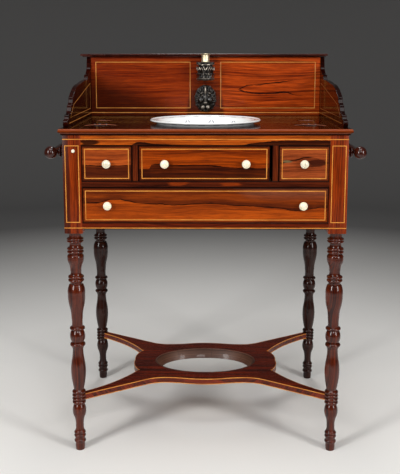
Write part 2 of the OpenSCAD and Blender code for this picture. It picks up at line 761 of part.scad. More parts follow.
function basin_outer() =
    let (r = basin_d / 2, h = hole_d / 2, z = top_z)
    path([[foot_d / 2 - wall, z - bowl_deep, 0], [foot_d / 2, z - bowl_deep, 0],
          [foot_d / 2, z - bowl_deep + 6, -h * 0.16], [h - 2, z - 14, 0], [h - 1.2, z, 0],
          [h + 5, z, 2.5], [r - 2, z + rim_up - 4, -1.4], [r - 0.6, z + rim_up - 0.8, -0.6],
          [r - 3, z + rim_up, 0]], 8);
function basin_inner() =
    let (r = basin_d / 2, h = hole_d / 2, z = top_z, f = foot_d / 2)
    path([[r - 3, z + rim_up, 0], [r - 6, z + rim_up - 1.5, -2.5], [h - 3, z + 1, 0],
          [h - 2 - wall, z - 14, h * 0.16], [f - 2, z - bowl_deep + 6 + wall, 1],
          [0, z - bowl_deep + 4 + wall, 0]], 8);
module basin() {
    color("white") at_front() translate([0, basin_y, 0]) rotate_extrude()
        polygon(concat([[0, top_z - bowl_deep + 4]], [[foot_d / 2 - wall, top_z - bowl_deep + 4]],
                       basin_outer(), [for (i = [1 : len(basin_inner()) - 1]) basin_inner()[i]]));
}

// ---------- Towel rails ----------

// A turned arm: tenon in the post, foot, round collar, and a neck that is hollowed to seat
// against the rail
arm_end_r = rail_d * 0.4;
module arm(x_side) {
    out = rail_out - rail_d / 2 + 2;
    foot_r = collar_d * 0.36;
    collar_r = collar_d / 2 - 2.6;
    translate([x_side * case_w / 2, axis_y, rail_z]) rotate([0, 90 * x_side, 0]) rotate_extrude()
        polygon(concat([[0, -arm_peg_l], [arm_peg_d / 2, -arm_peg_l], [arm_peg_d / 2, 0]],
            path([[foot_r, 0, 0], [foot_r, 3, 1.2], [collar_r, 6, -2.6],
                  [collar_r, 13, 0], [collar_d * 0.28, 14.5, 1], [arm_end_r, out, 0]], 5),
            [[0, out]]));
}
module arms(x_side) {
    color(dark_rosewood) at_front() for (y = [0, case_d - 2 * axis_y]) {
        difference() {
            translate([0, y, 0]) arm(x_side);
            if (y == 0 && x_side < 0) bone_pin_hole(play);
            translate([x_side * rail_x, 0, rail_z]) rotate([-90, 0, 0]) cylinder(d = rail_d, h = case_d);
        }
    }
}
module towel_arms_left() { arms(-1); }
module towel_arms_right() { arms(1); }

// A turned rail: a ball on a ring at each end, and a ring inside each arm. The outline is
// [radius, distance from the end], for one half
function rail_half() =
    let (b = ball_d / 2, r = rail_d / 2, n = r * 0.75, a = sqrt(b * b - n * n),
         c = norm([a, b - n]), arm_at = b + ball_off)
    path([[0, 0, -b * (1 - cos(45))], [b, b, -(b - sqrt(b * b - c * c / 4))], [n, b + a, 0],
          [r + 0.6, b + a + 0.2, -0.6], [r + 0.6, b + a + 1.6, 0], [r, b + a + 1.7, 0],
          [r, arm_at + 9, 0], [r + 1, arm_at + 9.5, -1], [r + 1, arm_at + 13, 0],
          [r, arm_at + 13.5, 0], [r * 0.9, arm_at + 24, 0]], 8);
module towel_rail(x_side) {
    y0 = axis_y - ball_off - ball_d / 2;
    length = case_d - 2 * y0;
    half = rail_half();
    color(dark_rosewood) at_front() translate([x_side * rail_x, y0, rail_z]) rotate([-90, 0, 0])
        rotate_extrude() polygon(concat(half,
            [for (i = [len(half) - 1 : -1 : 0]) [half[i][0], length - half[i][1]]]));
}
module towel_rail_left() { towel_rail(-1); }
module towel_rail_right() { towel_rail(1); }

// The bone-headed pin in the left front post, through the arm's tenon
module bone_pin() {
    color(bone) at_front() translate([-case_w / 2 + pin_x, 0, rail_z + pin_up]) {
        rotate([-90, 0, 0]) cylinder(d = pin_d, h = axis_y + arm_peg_d / 2 - 1);
        rotate([90, 0, 0]) rotate_extrude() polygon(concat([[0, 0]],
            path([[pin_d * 1.1, 0, 0], [pin_d * 1.1, 1, -pin_d * 0.3], [0, pin_d * 0.75, 0]], 6)));
    }
}

// ---------- Sconce ----------

module sconce_mask() {
    n = 20;
    w = mask_w / 64;
    h = mask_h / 82;
    color(bronze) at_front() difference() {
        translate([0, board_y, top_z + mask_z]) {
            // Plate, ring of mane, and the head in front of it
            rotate([90, 0, 0]) linear_extrude(plate_t) polygon([for (i = [0 : 47])
                [mask_w / 2 * cos(i * 7.5), mask_h / 2 * sin(i * 7.5)]]);
            translate([0, -plate_t, 0]) {
                hull() {
                    translate([0, 0, 2 * h]) scale([27 * w, plate_t * 0.96, 33 * h]) sphere(1, $fn = n);
                    translate([0, -4, 4 * h]) scale([18 * w, 8, 21 * h]) sphere(1, $fn = n);
                }
                hull() {
                    translate([0, -10, 12 * h]) scale([5 * w, 5, 8 * h]) sphere(1, $fn = 14);
                    translate([0, -13, -11 * h]) scale([9 * w, 6, 6 * h]) sphere(1, $fn = 14);
                }
                for (s = [-1, 1]) translate([s * 6.5 * w, -11, -15 * h])
                    scale([8 * w, 7, 7 * h]) sphere(1, $fn = 14);
                translate([0, -6, -25 * h]) scale([9 * w, 6, 7 * h]) sphere(1, $fn = 14);
            }
        }
        screw_holes(play);
    }
}

// The capital: a bell of two rows of leaves under a square-edged plate, on a bracket foot
module sconce_capital() {
    w = capital_w / 2;
    color(bronze) at_front() difference() {
        union() {
            translate([0, capital_y, top_z + capital_z]) {
                rotate_extrude() polygon(concat([[0, 0]],
                    path([[w * 0.7, 0, 0], [w * 0.8, 3, -1.5], [w * 0.74, 8, 2],
                          [w * 0.82, capital_h * 0.42, 0], [w * 0.72, capital_h * 0.48, 2.5],
                          [w * 0.9, capital_h * 0.84, 0], [w, capital_h * 0.86, 0],
                          [w, capital_h, 0]], 5), [[0, capital_h]]));
                for (i = [0 : 7]) rotate([0, 0, i * 45]) {
                    translate([w * 0.8, 0, capital_h * 0.38]) sphere(w * 0.17, $fn = 16);
                    rotate([0, 0, 22.5]) translate([w * 0.84, 0, capital_h * 0.76])
                        sphere(w * 0.15, $fn = 16);
                }
            }
            block([-w * 0.4, capital_y, top_z + capital_z + 2],
                  [w * 0.4, board_y, top_z + capital_z + capital_h - 6]);
        }
        screw_holes(play);
    }
}

// The nozzle: a thin-lipped cup that a candle stands in
module candle_nozzle() {
    r = nozzle_d / 2;
    color("silver") at_front() translate([0, capital_y, nozzle_z]) difference() {
        rotate_extrude() polygon(concat([[0, 0]],
            path([[r * 0.86, 0, 0], [r, 2, 0], [r, nozzle_h - 4, 0.6], [r + 1.6, nozzle_h - 1.6, -0.6],
                  [r + 1.6, nozzle_h, 0]], 5), [[0, nozzle_h]]));
        translate([0, 0, nozzle_h - candle_l]) cylinder(d = candle_d, h = candle_l + 1);
    }
}

module sconce_screws() {
    color("silver") at_front() for (z = [top_z + mask_z, top_z + capital_z + capital_h * 0.6])
        translate([0, board_y - plate_t + 1, z]) rotate([-90, 0, 0]) {
            cylinder(d = 4, h = board_t + plate_t - 1);
            translate([0, 0, board_t + plate_t - 1]) cylinder(d = 8, h = 2);
        }
}

// ---------- Drawers ----------

// A drawer is [left edge, right edge, lower edge, upper edge, height of its sides]
left_box = [-inner_x + gap_side, -side_open_x - gap_side, upper_bottom + gap_under,
            upper_top - gap_top, upper_h - gap_under - gap_top - side_low];
right_box = [side_open_x + gap_side, inner_x - gap_side, upper_bottom + gap_under,
             upper_top - gap_top, upper_h - gap_under - gap_top - side_low];
centre_box = [-partition_x + gap_side, partition_x - gap_centre, upper_bottom + gap_under,
              upper_top - gap_top, tray_h];
long_box = [-inner_x + gap_side, inner_x - gap_side, lower_bottom + gap_under,
            lower_top - gap_top, lower_h - gap_under - gap_top - side_low];

// Outline of a side in Y and Z, with its dovetails at the front
function side_board(b) =
    let (n = max(1, round(b[4] / side_t / 3)), p = b[4] / n, s = p * 0.14)
    concat([[drawer_d, b[2]], [drawer_d, b[2] + b[4]]],
        [for (i = [n - 1 : -1 : 0]) each [
            [front_t, b[2] + (i + 1) * p - 0.5 * s - 1.4], [front_t - tail_l, b[2] + (i + 1) * p - 1.4],
            [front_t - tail_l, b[2] + i * p + 1.4], [front_t, b[2] + i * p + 0.5 * s + 1.4]]]);
module drawer_side(b, s) {
    x = s < 0 ? b[0] : b[1] - side_t;
    difference() {
        along_x(x, x + side_t) union() {
            polygon(side_board(b));
            translate([front_t, b[2]]) square([drawer_d - front_t, b[4]]);
        }
        drawer_floor(b);
    }
}
module drawer_floor(b) {
    block([b[0] + side_t - groove_d, front_t - groove_d, b[2] + bottom_up],
          [b[1] - side_t + groove_d, drawer_d, b[2] + bottom_up + bottom_t]);
}
module drawer_line_ring(b) {
    line_frame(b[0] + drawer_line, b[2] + drawer_line, b[1] - drawer_line, b[3] - drawer_line, 0);
}
module shank_holes(b, xs, extra) {
    for (x = xs) translate([x, -eps, (b[2] + b[3]) / 2]) rotate([-90, 0, 0])
        cylinder(d = shank_d + 2 * extra, h = front_t + 2 * eps);
}
module drawer_front(b, xs) {
    color(rosewood) at_front() difference() {
        block([b[0], 0, b[2]], [b[1], front_t, b[3]]);
        for (s = [-1, 1]) drawer_side(b, s);
        drawer_floor(b);
        drawer_line_ring(b);
        shank_holes(b, xs, play);
    }
}
module drawer_sides(b) { color(oak) at_front() for (s = [-1, 1]) drawer_side(b, s); }
module drawer_back(b) {
    color(oak) at_front() block([b[0] + side_t, drawer_d - side_t, b[2] + bottom_up + bottom_t],
                                [b[1] - side_t, drawer_d, b[2] + b[4]]);
}
module drawer_bottom(b) { color(oak) at_front() drawer_floor(b); }
module drawer_stringing(b) { color(boxwood) at_front() drawer_line_ring(b); }

// A turned bone knob on a shank that goes through the drawer front
module knobs(b, xs) {
    r = knob_d / 2;
    color(bone) at_front() for (x = xs) translate([x, 0, (b[2] + b[3]) / 2]) {
        rotate([-90, 0, 0]) cylinder(d = shank_d, h = front_t + 2);
        rotate([90, 0, 0]) rotate_extrude() polygon(concat([[0, 0]],
            path([[r * 0.62, 0, 0], [r * 0.62, 1.6, 0], [r * 0.42, 3, 0.8], [r * 0.5, knob_l * 0.42, 0],
                  [r * 0.9, knob_l * 0.5, -r * 0.12], [r * 0.94, knob_l * 0.72, -r * 0.16],
                  [0, knob_l, 0]], 6)));
    }
}

side_knob_x = (side_open_x + inner_x) / 2;
module left_drawer_front() { drawer_front(left_box, [-side_knob_x]); }
module left_drawer_sides() { drawer_sides(left_box); }
module left_drawer_back() { drawer_back(left_box); }
module left_drawer_bottom() { drawer_bottom(left_box); }
module left_drawer_knob() { knobs(left_box, [-side_knob_x]); }
module left_drawer_stringing() { drawer_stringing(left_box); }
module right_drawer_front() { drawer_front(right_box, [side_knob_x]); }
module right_drawer_sides() { drawer_sides(right_box); }
module right_drawer_back() { drawer_back(right_box); }
module right_drawer_bottom() { drawer_bottom(right_box); }
module right_drawer_knob() { knobs(right_box, [side_knob_x]); }
module right_drawer_stringing() { drawer_stringing(right_box); }
module centre_drawer_front() { drawer_front(centre_box, [-knob_centre_x, knob_centre_x]); }
module centre_drawer_sides() { drawer_sides(centre_box); }
module centre_drawer_back() { drawer_back(centre_box); }
module centre_drawer_bottom() { drawer_bottom(centre_box); }
module centre_drawer_knobs() { knobs(centre_box, [-knob_centre_x, knob_centre_x]); }
module centre_drawer_stringing() { drawer_stringing(centre_box); }
module long_drawer_front() { drawer_front(long_box, [-knob_lower_x, knob_lower_x]); }
module long_drawer_sides() { drawer_sides(long_box); }
module long_drawer_back() { drawer_back(long_box); }
module long_drawer_bottom() { drawer_bottom(long_box); }
module long_drawer_knobs() { knobs(long_box, [-knob_lower_x, knob_lower_x]); }
module long_drawer_stringing() { drawer_stringing(long_box); }

leg_front_left();
leg_front_right();
leg_rear_left();
leg_rear_right();
side_panel_left();
side_panel_right();
back_panel();
top_rail();
mid_rail();
bottom_rail();
partition_left();
partition_right();
dust_board();
upper_guides();
lower_runners();
top_board();
backboard();
gallery_side_left();
gallery_side_right();
cap_shelf();
stretcher();
stretcher_lining();
basin();
case_stringing();
gallery_stringing();
stretcher_stringing();
towel_arms_left();
towel_arms_right();
towel_rail_left();
towel_rail_right();
bone_pin();
sconce_mask();
sconce_capital();
candle_nozzle();
sconce_screws();
left_drawer_front();
left_drawer_sides();
left_drawer_back();
left_drawer_bottom();
left_drawer_knob();
left_drawer_stringing();
centre_drawer_front();
centre_drawer_sides();
centre_drawer_back();
centre_drawer_bottom();
centre_drawer_knobs();
centre_drawer_stringing();
right_drawer_front();
right_drawer_sides();
right_drawer_back();
right_drawer_bottom();
right_drawer_knob();
right_drawer_stringing();
long_drawer_front();
long_drawer_sides();
long_drawer_back();
long_drawer_bottom();
long_drawer_knobs();
long_drawer_stringing();
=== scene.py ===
"""A washstand of about 1820 in polished rosewood, with boxwood lines, bone knobs and a china basin.

The pieces follow in the order in which the stand is put together. Named sizes and outlines are in
millimetres. Meshes, and the places that the frame gives, are in metres.
"""

from math import asin, atan2, copysign, cos, pi, radians, sin, tau

import bmesh
import bpy
from mathutils import Matrix, Vector


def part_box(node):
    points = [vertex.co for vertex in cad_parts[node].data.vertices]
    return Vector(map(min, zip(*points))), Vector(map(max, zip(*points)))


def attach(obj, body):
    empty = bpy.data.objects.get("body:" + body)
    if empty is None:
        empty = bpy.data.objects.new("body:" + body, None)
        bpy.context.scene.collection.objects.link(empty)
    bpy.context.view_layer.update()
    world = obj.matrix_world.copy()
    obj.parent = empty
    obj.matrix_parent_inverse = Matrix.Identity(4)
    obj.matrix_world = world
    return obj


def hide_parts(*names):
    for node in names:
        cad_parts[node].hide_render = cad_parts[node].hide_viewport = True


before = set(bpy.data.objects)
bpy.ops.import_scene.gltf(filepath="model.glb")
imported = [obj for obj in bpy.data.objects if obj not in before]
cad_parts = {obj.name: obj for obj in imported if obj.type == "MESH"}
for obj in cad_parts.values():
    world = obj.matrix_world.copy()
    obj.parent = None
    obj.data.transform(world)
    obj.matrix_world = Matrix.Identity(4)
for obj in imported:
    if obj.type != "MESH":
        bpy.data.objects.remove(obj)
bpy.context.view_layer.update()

# ---------- Legs ----------
# Each leg is turned from one length of rosewood, with a square post left at its upper end for
# the case. Rings near the foot take the stretcher. The turned wood is dark, with a red cast,
# and french polished. The posts are faced with brighter veneer, its grain upright.

MM = 0.001
# The square post, from its lower end up to the top board, and how much its arrises are eased
POST_LENGTH, POST_EASE = 247, 0.6
# How far the lines in a post or gallery side stand out of the wood
LINE_PROUD = 0.15

# The turning from the floor up: height, radius, and how far the curve to the next key swells
TURNING = [
    (0, 11, 0.6), (17, 12, 0), (20, 12.5, 2.5), (29, 12.5, 0), (34.5, 12.5, 2.5),
    (43.2, 12.5, 2.5), (52, 12.5, -1), (66, 10.5, -1.2), (90, 13.4, 4.2), (126, 13.4, 0),
    (127, 14.5, 3), (136.2, 14.5, 3), (145.5, 14.5, 3), (154.8, 14.5, 3), (164, 14.5, 0),
    (166, 12.5, 1.2), (213, 19.2, 0.8), (245, 16.5, -0.8), (276, 13.5, 0), (283, 16, 3.5),
    (293, 16, 0), (294, 14.5, 5), (327, 14.5, 0), (327.5, 16, 3.5), (335.5, 16, 0),
    (337, 14, -0.6), (360, 14.6, -1), (390, 19, 1), (421, 22, 1.8), (447, 18, 0),
    (449, 15, -0.6), (454.5, 17, 3), (463, 17, 3), (471.2, 17, 0), (472, 14.5, -0.8),
    (484, 14.2, -1), (502, 18, 1), (517, 20.7, 1.8), (527, 16.5, 0), (528.5, 17.5, 3.3),
    (536.6, 17.5, 3.3), (544.6, 17.5, 0), (545, 15.5, -1), (556.6, 15.5, 0), (557, 18, 3),
    (563, 18, 3), (569, 18, 0), (569.5, 15.5, -0.8), (583, 17, 0),
]


class Value:
    """A number that varies over a surface. Sums on it add Math nodes."""

    def __init__(self, socket):
        self.socket = socket

    def maths(self, operation, *terms, clamp=False):
        tree = self.socket.id_data
        made = tree.nodes.new("ShaderNodeMath")
        made.operation = operation
        made.use_clamp = clamp
        for place, term in zip(made.inputs, terms):
            if isinstance(term, Value):
                tree.links.new(term.socket, place)
            else:
                place.default_value = term
        return Value(made.outputs[0])

    def __add__(self, other):
        return self.maths("ADD", self, other)

    __radd__ = __add__

    def __sub__(self, other):
        return self.maths("SUBTRACT", self, other)

    def __rsub__(self, other):
        return self.maths("SUBTRACT", other, self)

    def __mul__(self, other):
        return self.maths("MULTIPLY", self, other)

    __rmul__ = __mul__

    def __truediv__(self, other):
        return self.maths("DIVIDE", self, other)

    def __pow__(self, other):
        return self.maths("POWER", self, other)

    def __abs__(self):
        return self.maths("ABSOLUTE", self)

    def wave(self):
        return self.maths("SINE", self)

    def fraction(self):
        return self.maths("FRACT", self)

    def held(self):
        """The value kept from 0 to 1."""
        return self.maths("ADD", self, 0.0, clamp=True)

    def above(self, start, slope):
        """Nothing up to start, and from there slope times the rise, up to 1."""
        return ((self - start) * slope).held()


class Finish:
    """A material being built round its one shader. Places on the piece are in millimetres."""

    def __init__(self, name, constants):
        self.material = bpy.data.materials.new(name)
        self.material.use_nodes = True
        self.tree = self.material.node_tree
        self.shader = self.tree.nodes["Principled BSDF"]
        for socket, constant in constants.items():
            self.shader.inputs[socket].default_value = constant

    def node(self, kind, settings, inputs, output=0):
        """Adds a node, sets it, fills its sockets with values or links, and gives one output."""
        made = self.tree.nodes.new("ShaderNode" + kind)
        for name, choice in settings.items():
            if name == "stops":
                ramp = made.color_ramp
                for spot, level in choice[1:-1]:
                    ramp.elements.new(spot).color = (level, level, level, 1)
                for end, (spot, level) in ((0, choice[0]), (-1, choice[-1])):
                    ramp.elements[end].position = spot
                    ramp.elements[end].color = (level, level, level, 1)
                ramp.interpolation = "CARDINAL"
            else:
                setattr(made, name, choice)
        for name, term in inputs.items():
            if isinstance(term, Value):
                self.tree.links.new(term.socket, made.inputs[name])
            else:
                made.inputs[name].default_value = term
        return Value(made.outputs[output])

    def place(self, middle=(0, 0, 0)):
        """The place on the piece as X, Y and Z in millimetres, measured from middle, in metres."""
        coordinates = self.node("TexCoord", {}, {}, "Object")
        moved = self.node("VectorMath", {"operation": "SUBTRACT"}, {0: coordinates, 1: middle})
        scaled = self.node("VectorMath", {"operation": "SCALE"}, {0: moved, "Scale": 1 / MM})
        return {axis: self.node("SeparateXYZ", {}, {0: scaled}, axis) for axis in "XYZ"}

    def grained(self, grain):
        """The places along, across and through the grain. grain names the first two axes."""
        axes = self.place()
        through = ({"X", "Y", "Z"} - set(grain)).pop()
        return axes[grain[0]], axes[grain[1]], axes[through]

    def noise(self, x, y=0.0, z=0.0, detail=2.0):
        """A cloudy value about 0.5 that changes once or so for each unit of its coordinates."""
        where = self.node("CombineXYZ", {}, {"X": x, "Y": y, "Z": z})
        return self.node("TexNoise", {}, {"Vector": where, "Scale": 1.0, "Detail": detail})

    def marks(self, spots, sizes, shift=0.0, detail=2.0):
        """Cloudy marks with one size along each of up to three spots. shift gives another lot."""
        along, *others = (spot / size for spot, size in zip(spots, sizes))
        return self.noise(along + shift, *others, detail=detail)

    def bands(self, line, detail=2.0):
        """A value that changes only with line, in irregular bands."""
        settings = {"noise_dimensions": "1D"}
        return self.node("TexNoise", settings, {"W": line, "Scale": 1.0, "Detail": detail})

    def mix(self, factor, plain, other):
        return self.node("Mix", {"data_type": "RGBA"}, {0: factor, 6: plain, 7: other}, 2)

    def follow(self, along, way):
        """The height of a line drawn through way, a list of places along and heights."""
        spots, heights = zip(*way)
        start, length = spots[0], spots[-1] - spots[0]
        low, rise = min(heights), max(heights) - min(heights) + 1e-6
        stops = [((spot - start) / length, (height - low) / rise) for spot, height in way]
        curve = self.node("ValToRGB", {"stops": stops}, {0: (along - start) / length})
        return curve * rise + low

    def link(self, socket, value):
        self.tree.links.new(value.socket, self.shader.inputs[socket])

    def done(self, colour, roughness, height, depth):
        """Links what varies, with height times depth, in millimetres, as bump."""
        self.link("Base Color", colour)
        self.link("Roughness", roughness)
        bump = {"Height": height, "Strength": 1.0, "Distance": depth * MM}
        self.link("Normal", self.node("Bump", {}, bump))
        return self.material


def paint(red, green, blue):
    """A colour given as on a screen, from 0 to 255, in the linear values that shaders take."""
    return tuple((part / 255) ** 2.2 for part in (red, green, blue)) + (1,)


BLACK, SHADOW = paint(24, 9, 5), paint(62, 24, 12)
# Marks in rosewood: how far each runs along the grain, across it and through the board
BEND, STREAK, PATCH, FLECK = (300, 90, 90), (380, 2.8, 30), (150, 6, 20), (80, 2.2, 8)
FIBRE, VEIN_GAP, SMEAR, WANDER = (22, 0.8, 0.8), (150, 40), (130, 2.4), (30, 60)
FRAY, SWELLING = (9, 25), (40,)
# How far the grain bends and how steeply it slants, and the widths of broad bands and veins
BEND_REACH, SLANT, BAND_W, VEIN_W = 30, 0.4, 21, 15
# How strongly the bands, streaks, patches and flecks show
STRENGTHS = (1.1, 1.5, 1.5, 1.7)
# The painted shadow line, black, at the very edge of a front, where the gap round it is dark
EDGE_SHADOW_LINE = 2.2


def rosewood(name, grain, seed, light, deep, figures=(), shades=(), knots=(), rim=None,
             painted_moulding_lines=(), veined=1.0, roughness=0.3, specular=0.15, coat=0.0):
    """Polished rosewood. grain names the axes along and across the grain on the main face.
    Each figure is a dark growth line: its way, the side that it shades, the depth of the
    shade and its colour. Side 0 is a thin line alone, as wide as the depth. Each shade tints
    one side of its way little by little, as strongly as its last number says. Each knot is a
    ragged patch: its place, half its length and height, and its colour. rim is a front's node
    and the width of its border, painted darker partly as wood and partly as painted shade
    from the gap round it, with a black painted shadow line at its very edge. Each painted
    moulding line is a painted highlight or a painted shade line along a moulding: its place
    on the third axis, half its width and its colour. veined is how strong the dark veins are."""
    wood = Finish(name, {"Specular IOR Level": specular, "Coat Weight": coat,
                         "Coat Roughness": 0.05})
    along, across, depth = wood.grained(grain)
    bend = wood.marks((along, across, depth), BEND, seed, detail=1)
    line = across + depth * SLANT + (bend - 0.5) * BEND_REACH
    solid = (along, line, depth)
    broad = wood.bands(line / BAND_W + seed * 7)
    streak = wood.marks(solid, STREAK, seed, detail=3)
    patch = wood.marks(solid, PATCH, seed, detail=4)
    fleck = wood.marks(solid, FLECK, seed, detail=3)
    fibre = wood.marks(solid, FIBRE, detail=3)
    tone = 0.5
    for mark, strength in zip((broad, streak, patch, fleck), STRENGTHS):
        tone = (mark - 0.5) * strength + tone
    colour = wood.mix(tone.held(), deep, light)
    gate = wood.marks((along, line), VEIN_GAP, seed * 5).above(0.42, 5)
    vein = (1 - abs(wood.bands(line / VEIN_W + seed * 5, detail=1) - 0.5) * 28).held()
    colour = wood.mix(vein * gate * (0.5 * veined), colour, BLACK)
    smear = wood.marks((along, line), SMEAR, seed * 2, detail=3).above(0.56, 9)
    coarse = (wood.marks((along, across), WANDER, seed) - 0.5) * 5
    ragged = coarse + (wood.marks((along, across), FRAY, seed) - 0.5) * 2.2
    thick = wood.marks((along,), SWELLING, seed * 4).above(0.38, 3) * 1.7 + 0.55
    dark = 0.8 * veined
    for way, side, reach, tint in figures:
        edge = across - wood.follow(along, way) - ragged
        if side:
            beyond = edge * side
            dark = beyond.held()
            shade = dark * (0.55 + 0.45 * (1 - beyond / reach).held())
            colour = wood.mix(shade * (1.35 - patch * 0.8), colour, tint)
            shade = ((thick - abs(beyond - thick)) * 1.6).held()
        else:
            within = along.above(way[0][0], 0.1) * ((way[-1][0] - along) / 50).held()
            shade = (within * 2 - abs(edge) / thick * (4 / reach)).held() * 0.9
        colour = wood.mix(shade, colour, BLACK)
    colour = wood.mix(smear * (dark * 0.4 + 0.1), colour, SHADOW)
    for way, side, reach, tint, strength in shades:
        beyond = (across - wood.follow(along, way)) * side
        colour = wood.mix((beyond / reach).held() * strength, colour, tint)
    for spot, level, half_long, half_high, tint in knots:
        right, up = (along - spot) / half_long, (across - level) / half_high
        far = (right * right + up * up) ** 0.5 + (patch - 0.5) * 2.2
        colour = wood.mix(((1.1 - far) * 3).held() * 0.9, colour, tint)
    # Painted highlights and painted shade lines along a moulding, set by height
    for level, half, tint in painted_moulding_lines:
        colour = wood.mix((1 - abs(depth - level) / half).held() * 0.85, colour, tint)
    # A front's border is painted darker, partly as a darker border of wood and partly as painted
    # shade from the gap round it, and black at its very edge as a painted shadow in the gap
    if rim:
        front, width = rim
        low, high = (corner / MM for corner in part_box(front))
        first, second = ("XYZ".index(axis) for axis in grain)
        inside = along - low[first]
        for other in (high[first] - along, across - low[second], high[second] - across):
            inside = inside.maths("MINIMUM", inside, other)
        colour = wood.mix((width - inside).held() * 0.55, colour, SHADOW)
        colour = wood.mix((EDGE_SHADOW_LINE - inside).held() * 0.8, colour, BLACK)
    colour = wood.mix((fibre - 0.42).held() * 1.6, colour, BLACK)
    return wood.done(colour, fibre * 0.14 + (roughness - 0.07), fibre, 0.04)


def arc(start, end, bulge, steps):
    """Points of an arc from start up to end, without end. A positive bulge bows to the left."""
    start, end = Vector(start), Vector(end)
    chord = end - start
    radius = (chord.length ** 2 / 4 + bulge ** 2) / (2 * abs(bulge))
    left = Vector((-chord.y, chord.x)).normalized()
    middle = (start + end) / 2 - left * copysign(radius - abs(bulge), bulge)
    first = atan2(start.y - middle.y, start.x - middle.x)
    turn = -copysign(2 * asin(min(1, chord.length / 2 / radius)), bulge)
    angles = [first + turn * step / steps for step in range(steps)]
    return [middle + radius * Vector((cos(angle), sin(angle))) for angle in angles]


def path(keys, steps=8, closed=False):
    """Points through keys, each a place and the bulge of the curve to the next one."""
    points = []
    followers = keys[1:] + keys[:1] if closed else keys[1:]
    for key, follower in zip(keys, followers):
        if key[2]:
            points += arc(key[:2], follower[:2], key[2], steps)
        else:
            points.append(Vector(key[:2]))
    if not closed:
        points.append(Vector(keys[-1][:2]))
    return points


def put(bm, verts, place, turn=0.0, axis="X"):
    """Turns vertices about an axis through zero, and moves them by place, in metres."""
    bmesh.ops.rotate(bm, verts=verts, cent=(0, 0, 0), matrix=Matrix.Rotation(turn, 3, axis))
    bmesh.ops.translate(bm, verts=verts, vec=place)


def turned(bm, profile, steps, place=(0, 0, 0), turn=0.0, axis="X"):
    """Spins a profile of radius and height, in millimetres, about Z, and puts it in its place."""
    before = set(bm.verts)
    rim = [bm.verts.new((radius * MM, 0, height * MM)) for radius, height in profile]
    edges = [bm.edges.new(pair) for pair in zip(rim, rim[1:])]
    bmesh.ops.spin(bm, geom=rim + edges, axis=(0, 0, 1), cent=(0, 0, 0), angle=tau,
                   steps=steps, use_merge=True)
    put(bm, [vert for vert in bm.verts if vert not in before], place, turn, axis)


def eased(bm, edges, width, segments):
    """Rounds edges over a width in millimetres."""
    bmesh.ops.bevel(bm, geom=edges, offset=width * MM, offset_type="OFFSET", segments=segments,
                    profile=0.5, affect="EDGES", clamp_overlap=True, material=-1)


def block(bm, low, high, ease):
    """A box from its lowest to its highest corner, its edges eased by so many millimetres."""
    low, high = Vector(low), Vector(high)
    size = Matrix.Diagonal((*(high - low), 1))
    matrix = Matrix.Translation((low + high) / 2) @ size
    made = bmesh.ops.create_cube(bm, size=1, matrix=matrix)["verts"]
    eased(bm, list({edge for vert in made for edge in vert.link_edges}), ease, 2)


def shown(name, data):
    """An object in the scene, made from a mesh, a lamp's or a camera's data."""
    made = bpy.data.objects.new(name, data)
    bpy.context.scene.collection.objects.link(made)
    return made


def piece(name, bm, material, body, node, sharp=32):
    """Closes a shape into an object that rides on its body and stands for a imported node."""
    bmesh.ops.remove_doubles(bm, verts=bm.verts, dist=1e-6)
    bmesh.ops.recalc_face_normals(bm, faces=bm.faces)
    mesh = bpy.data.meshes.new(name)
    bm.to_mesh(mesh)
    bm.free()
    mesh.shade_smooth()
    mesh.set_sharp_from_angle(angle=radians(sharp))
    mesh.materials.append(material)
    made = shown(name, mesh)
    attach(made, body)
    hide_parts(node)
    return made


# The rear legs are painted darker than the front ones, as painted shade
DARK_TONES = {"front": (paint(100, 38, 12), paint(48, 16, 6)),
              "rear": (paint(54, 24, 12), paint(28, 11, 6))}
POST_LIGHT, POST_DEEP = paint(156, 60, 15), paint(80, 25, 6)
# The left front post is dark along its outer side, and the other posts are even
POST_SHADES = {"front_left": [([(560, -333), (700, -332), (840, -335)], -1, 5, SHADOW, 0.8)]}
# Each leg, and the veneer on its post, has grain of its own
LEG_GRAIN = {"front_left": (2, 51), "rear_left": (1, 50), "front_right": (8, 59),
             "rear_right": (7, 58)}
for corner_name, (turned_grain, post_grain) in LEG_GRAIN.items():
    end = corner_name.split("_")[0]
    node = f"leg_{corner_name}"
    low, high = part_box(node)
    middle = (low + high) / 2
    wood = rosewood(f"turned_rosewood_{corner_name}", "ZX", turned_grain, *DARK_TONES[end],
                    veined=0.4, roughness=0.34, specular=0.12,
                    coat=0.65 if end == "front" else 0.4)
    post_bottom = high.z - POST_LENGTH * MM
    scale = post_bottom / (TURNING[-1][0] * MM)
    bm = bmesh.new()
    profile = path([(radius, height * scale, -bulge) for height, radius, bulge in TURNING])
    turned(bm, [(0, 0)] + profile + [(0, post_bottom / MM)], 72, (middle.x, middle.y, 0))
    turning = set(bm.faces)
    inset = Vector((0, LINE_PROUD * MM if end == "front" else 0, 0))
    corner = Vector((low.x, low.y, post_bottom))
    block(bm, corner + inset, high, POST_EASE)
    for face in set(bm.faces) - turning:
        face.material_index = 1
    made = piece(f"{node}_turned", bm, wood, "stand", node)
    made.data.materials.append(rosewood(
        f"post_veneer_{corner_name}", "ZX", post_grain, POST_LIGHT, POST_DEEP,
        shades=POST_SHADES.get(corner_name, ())))

# ---------- Case ----------
# Three rails tenoned between the front posts, with end and back panels, two partitions and a
# board between the drawer rows. What faces the room is veneered in bright rosewood with near
# black figure, its grain along each rail. The inside is plain oak, never polished.

ORANGE, RUSSET = paint(206, 98, 28), paint(132, 52, 16)
# How much the arrises of the case are eased
CASE_EASE = 0.4


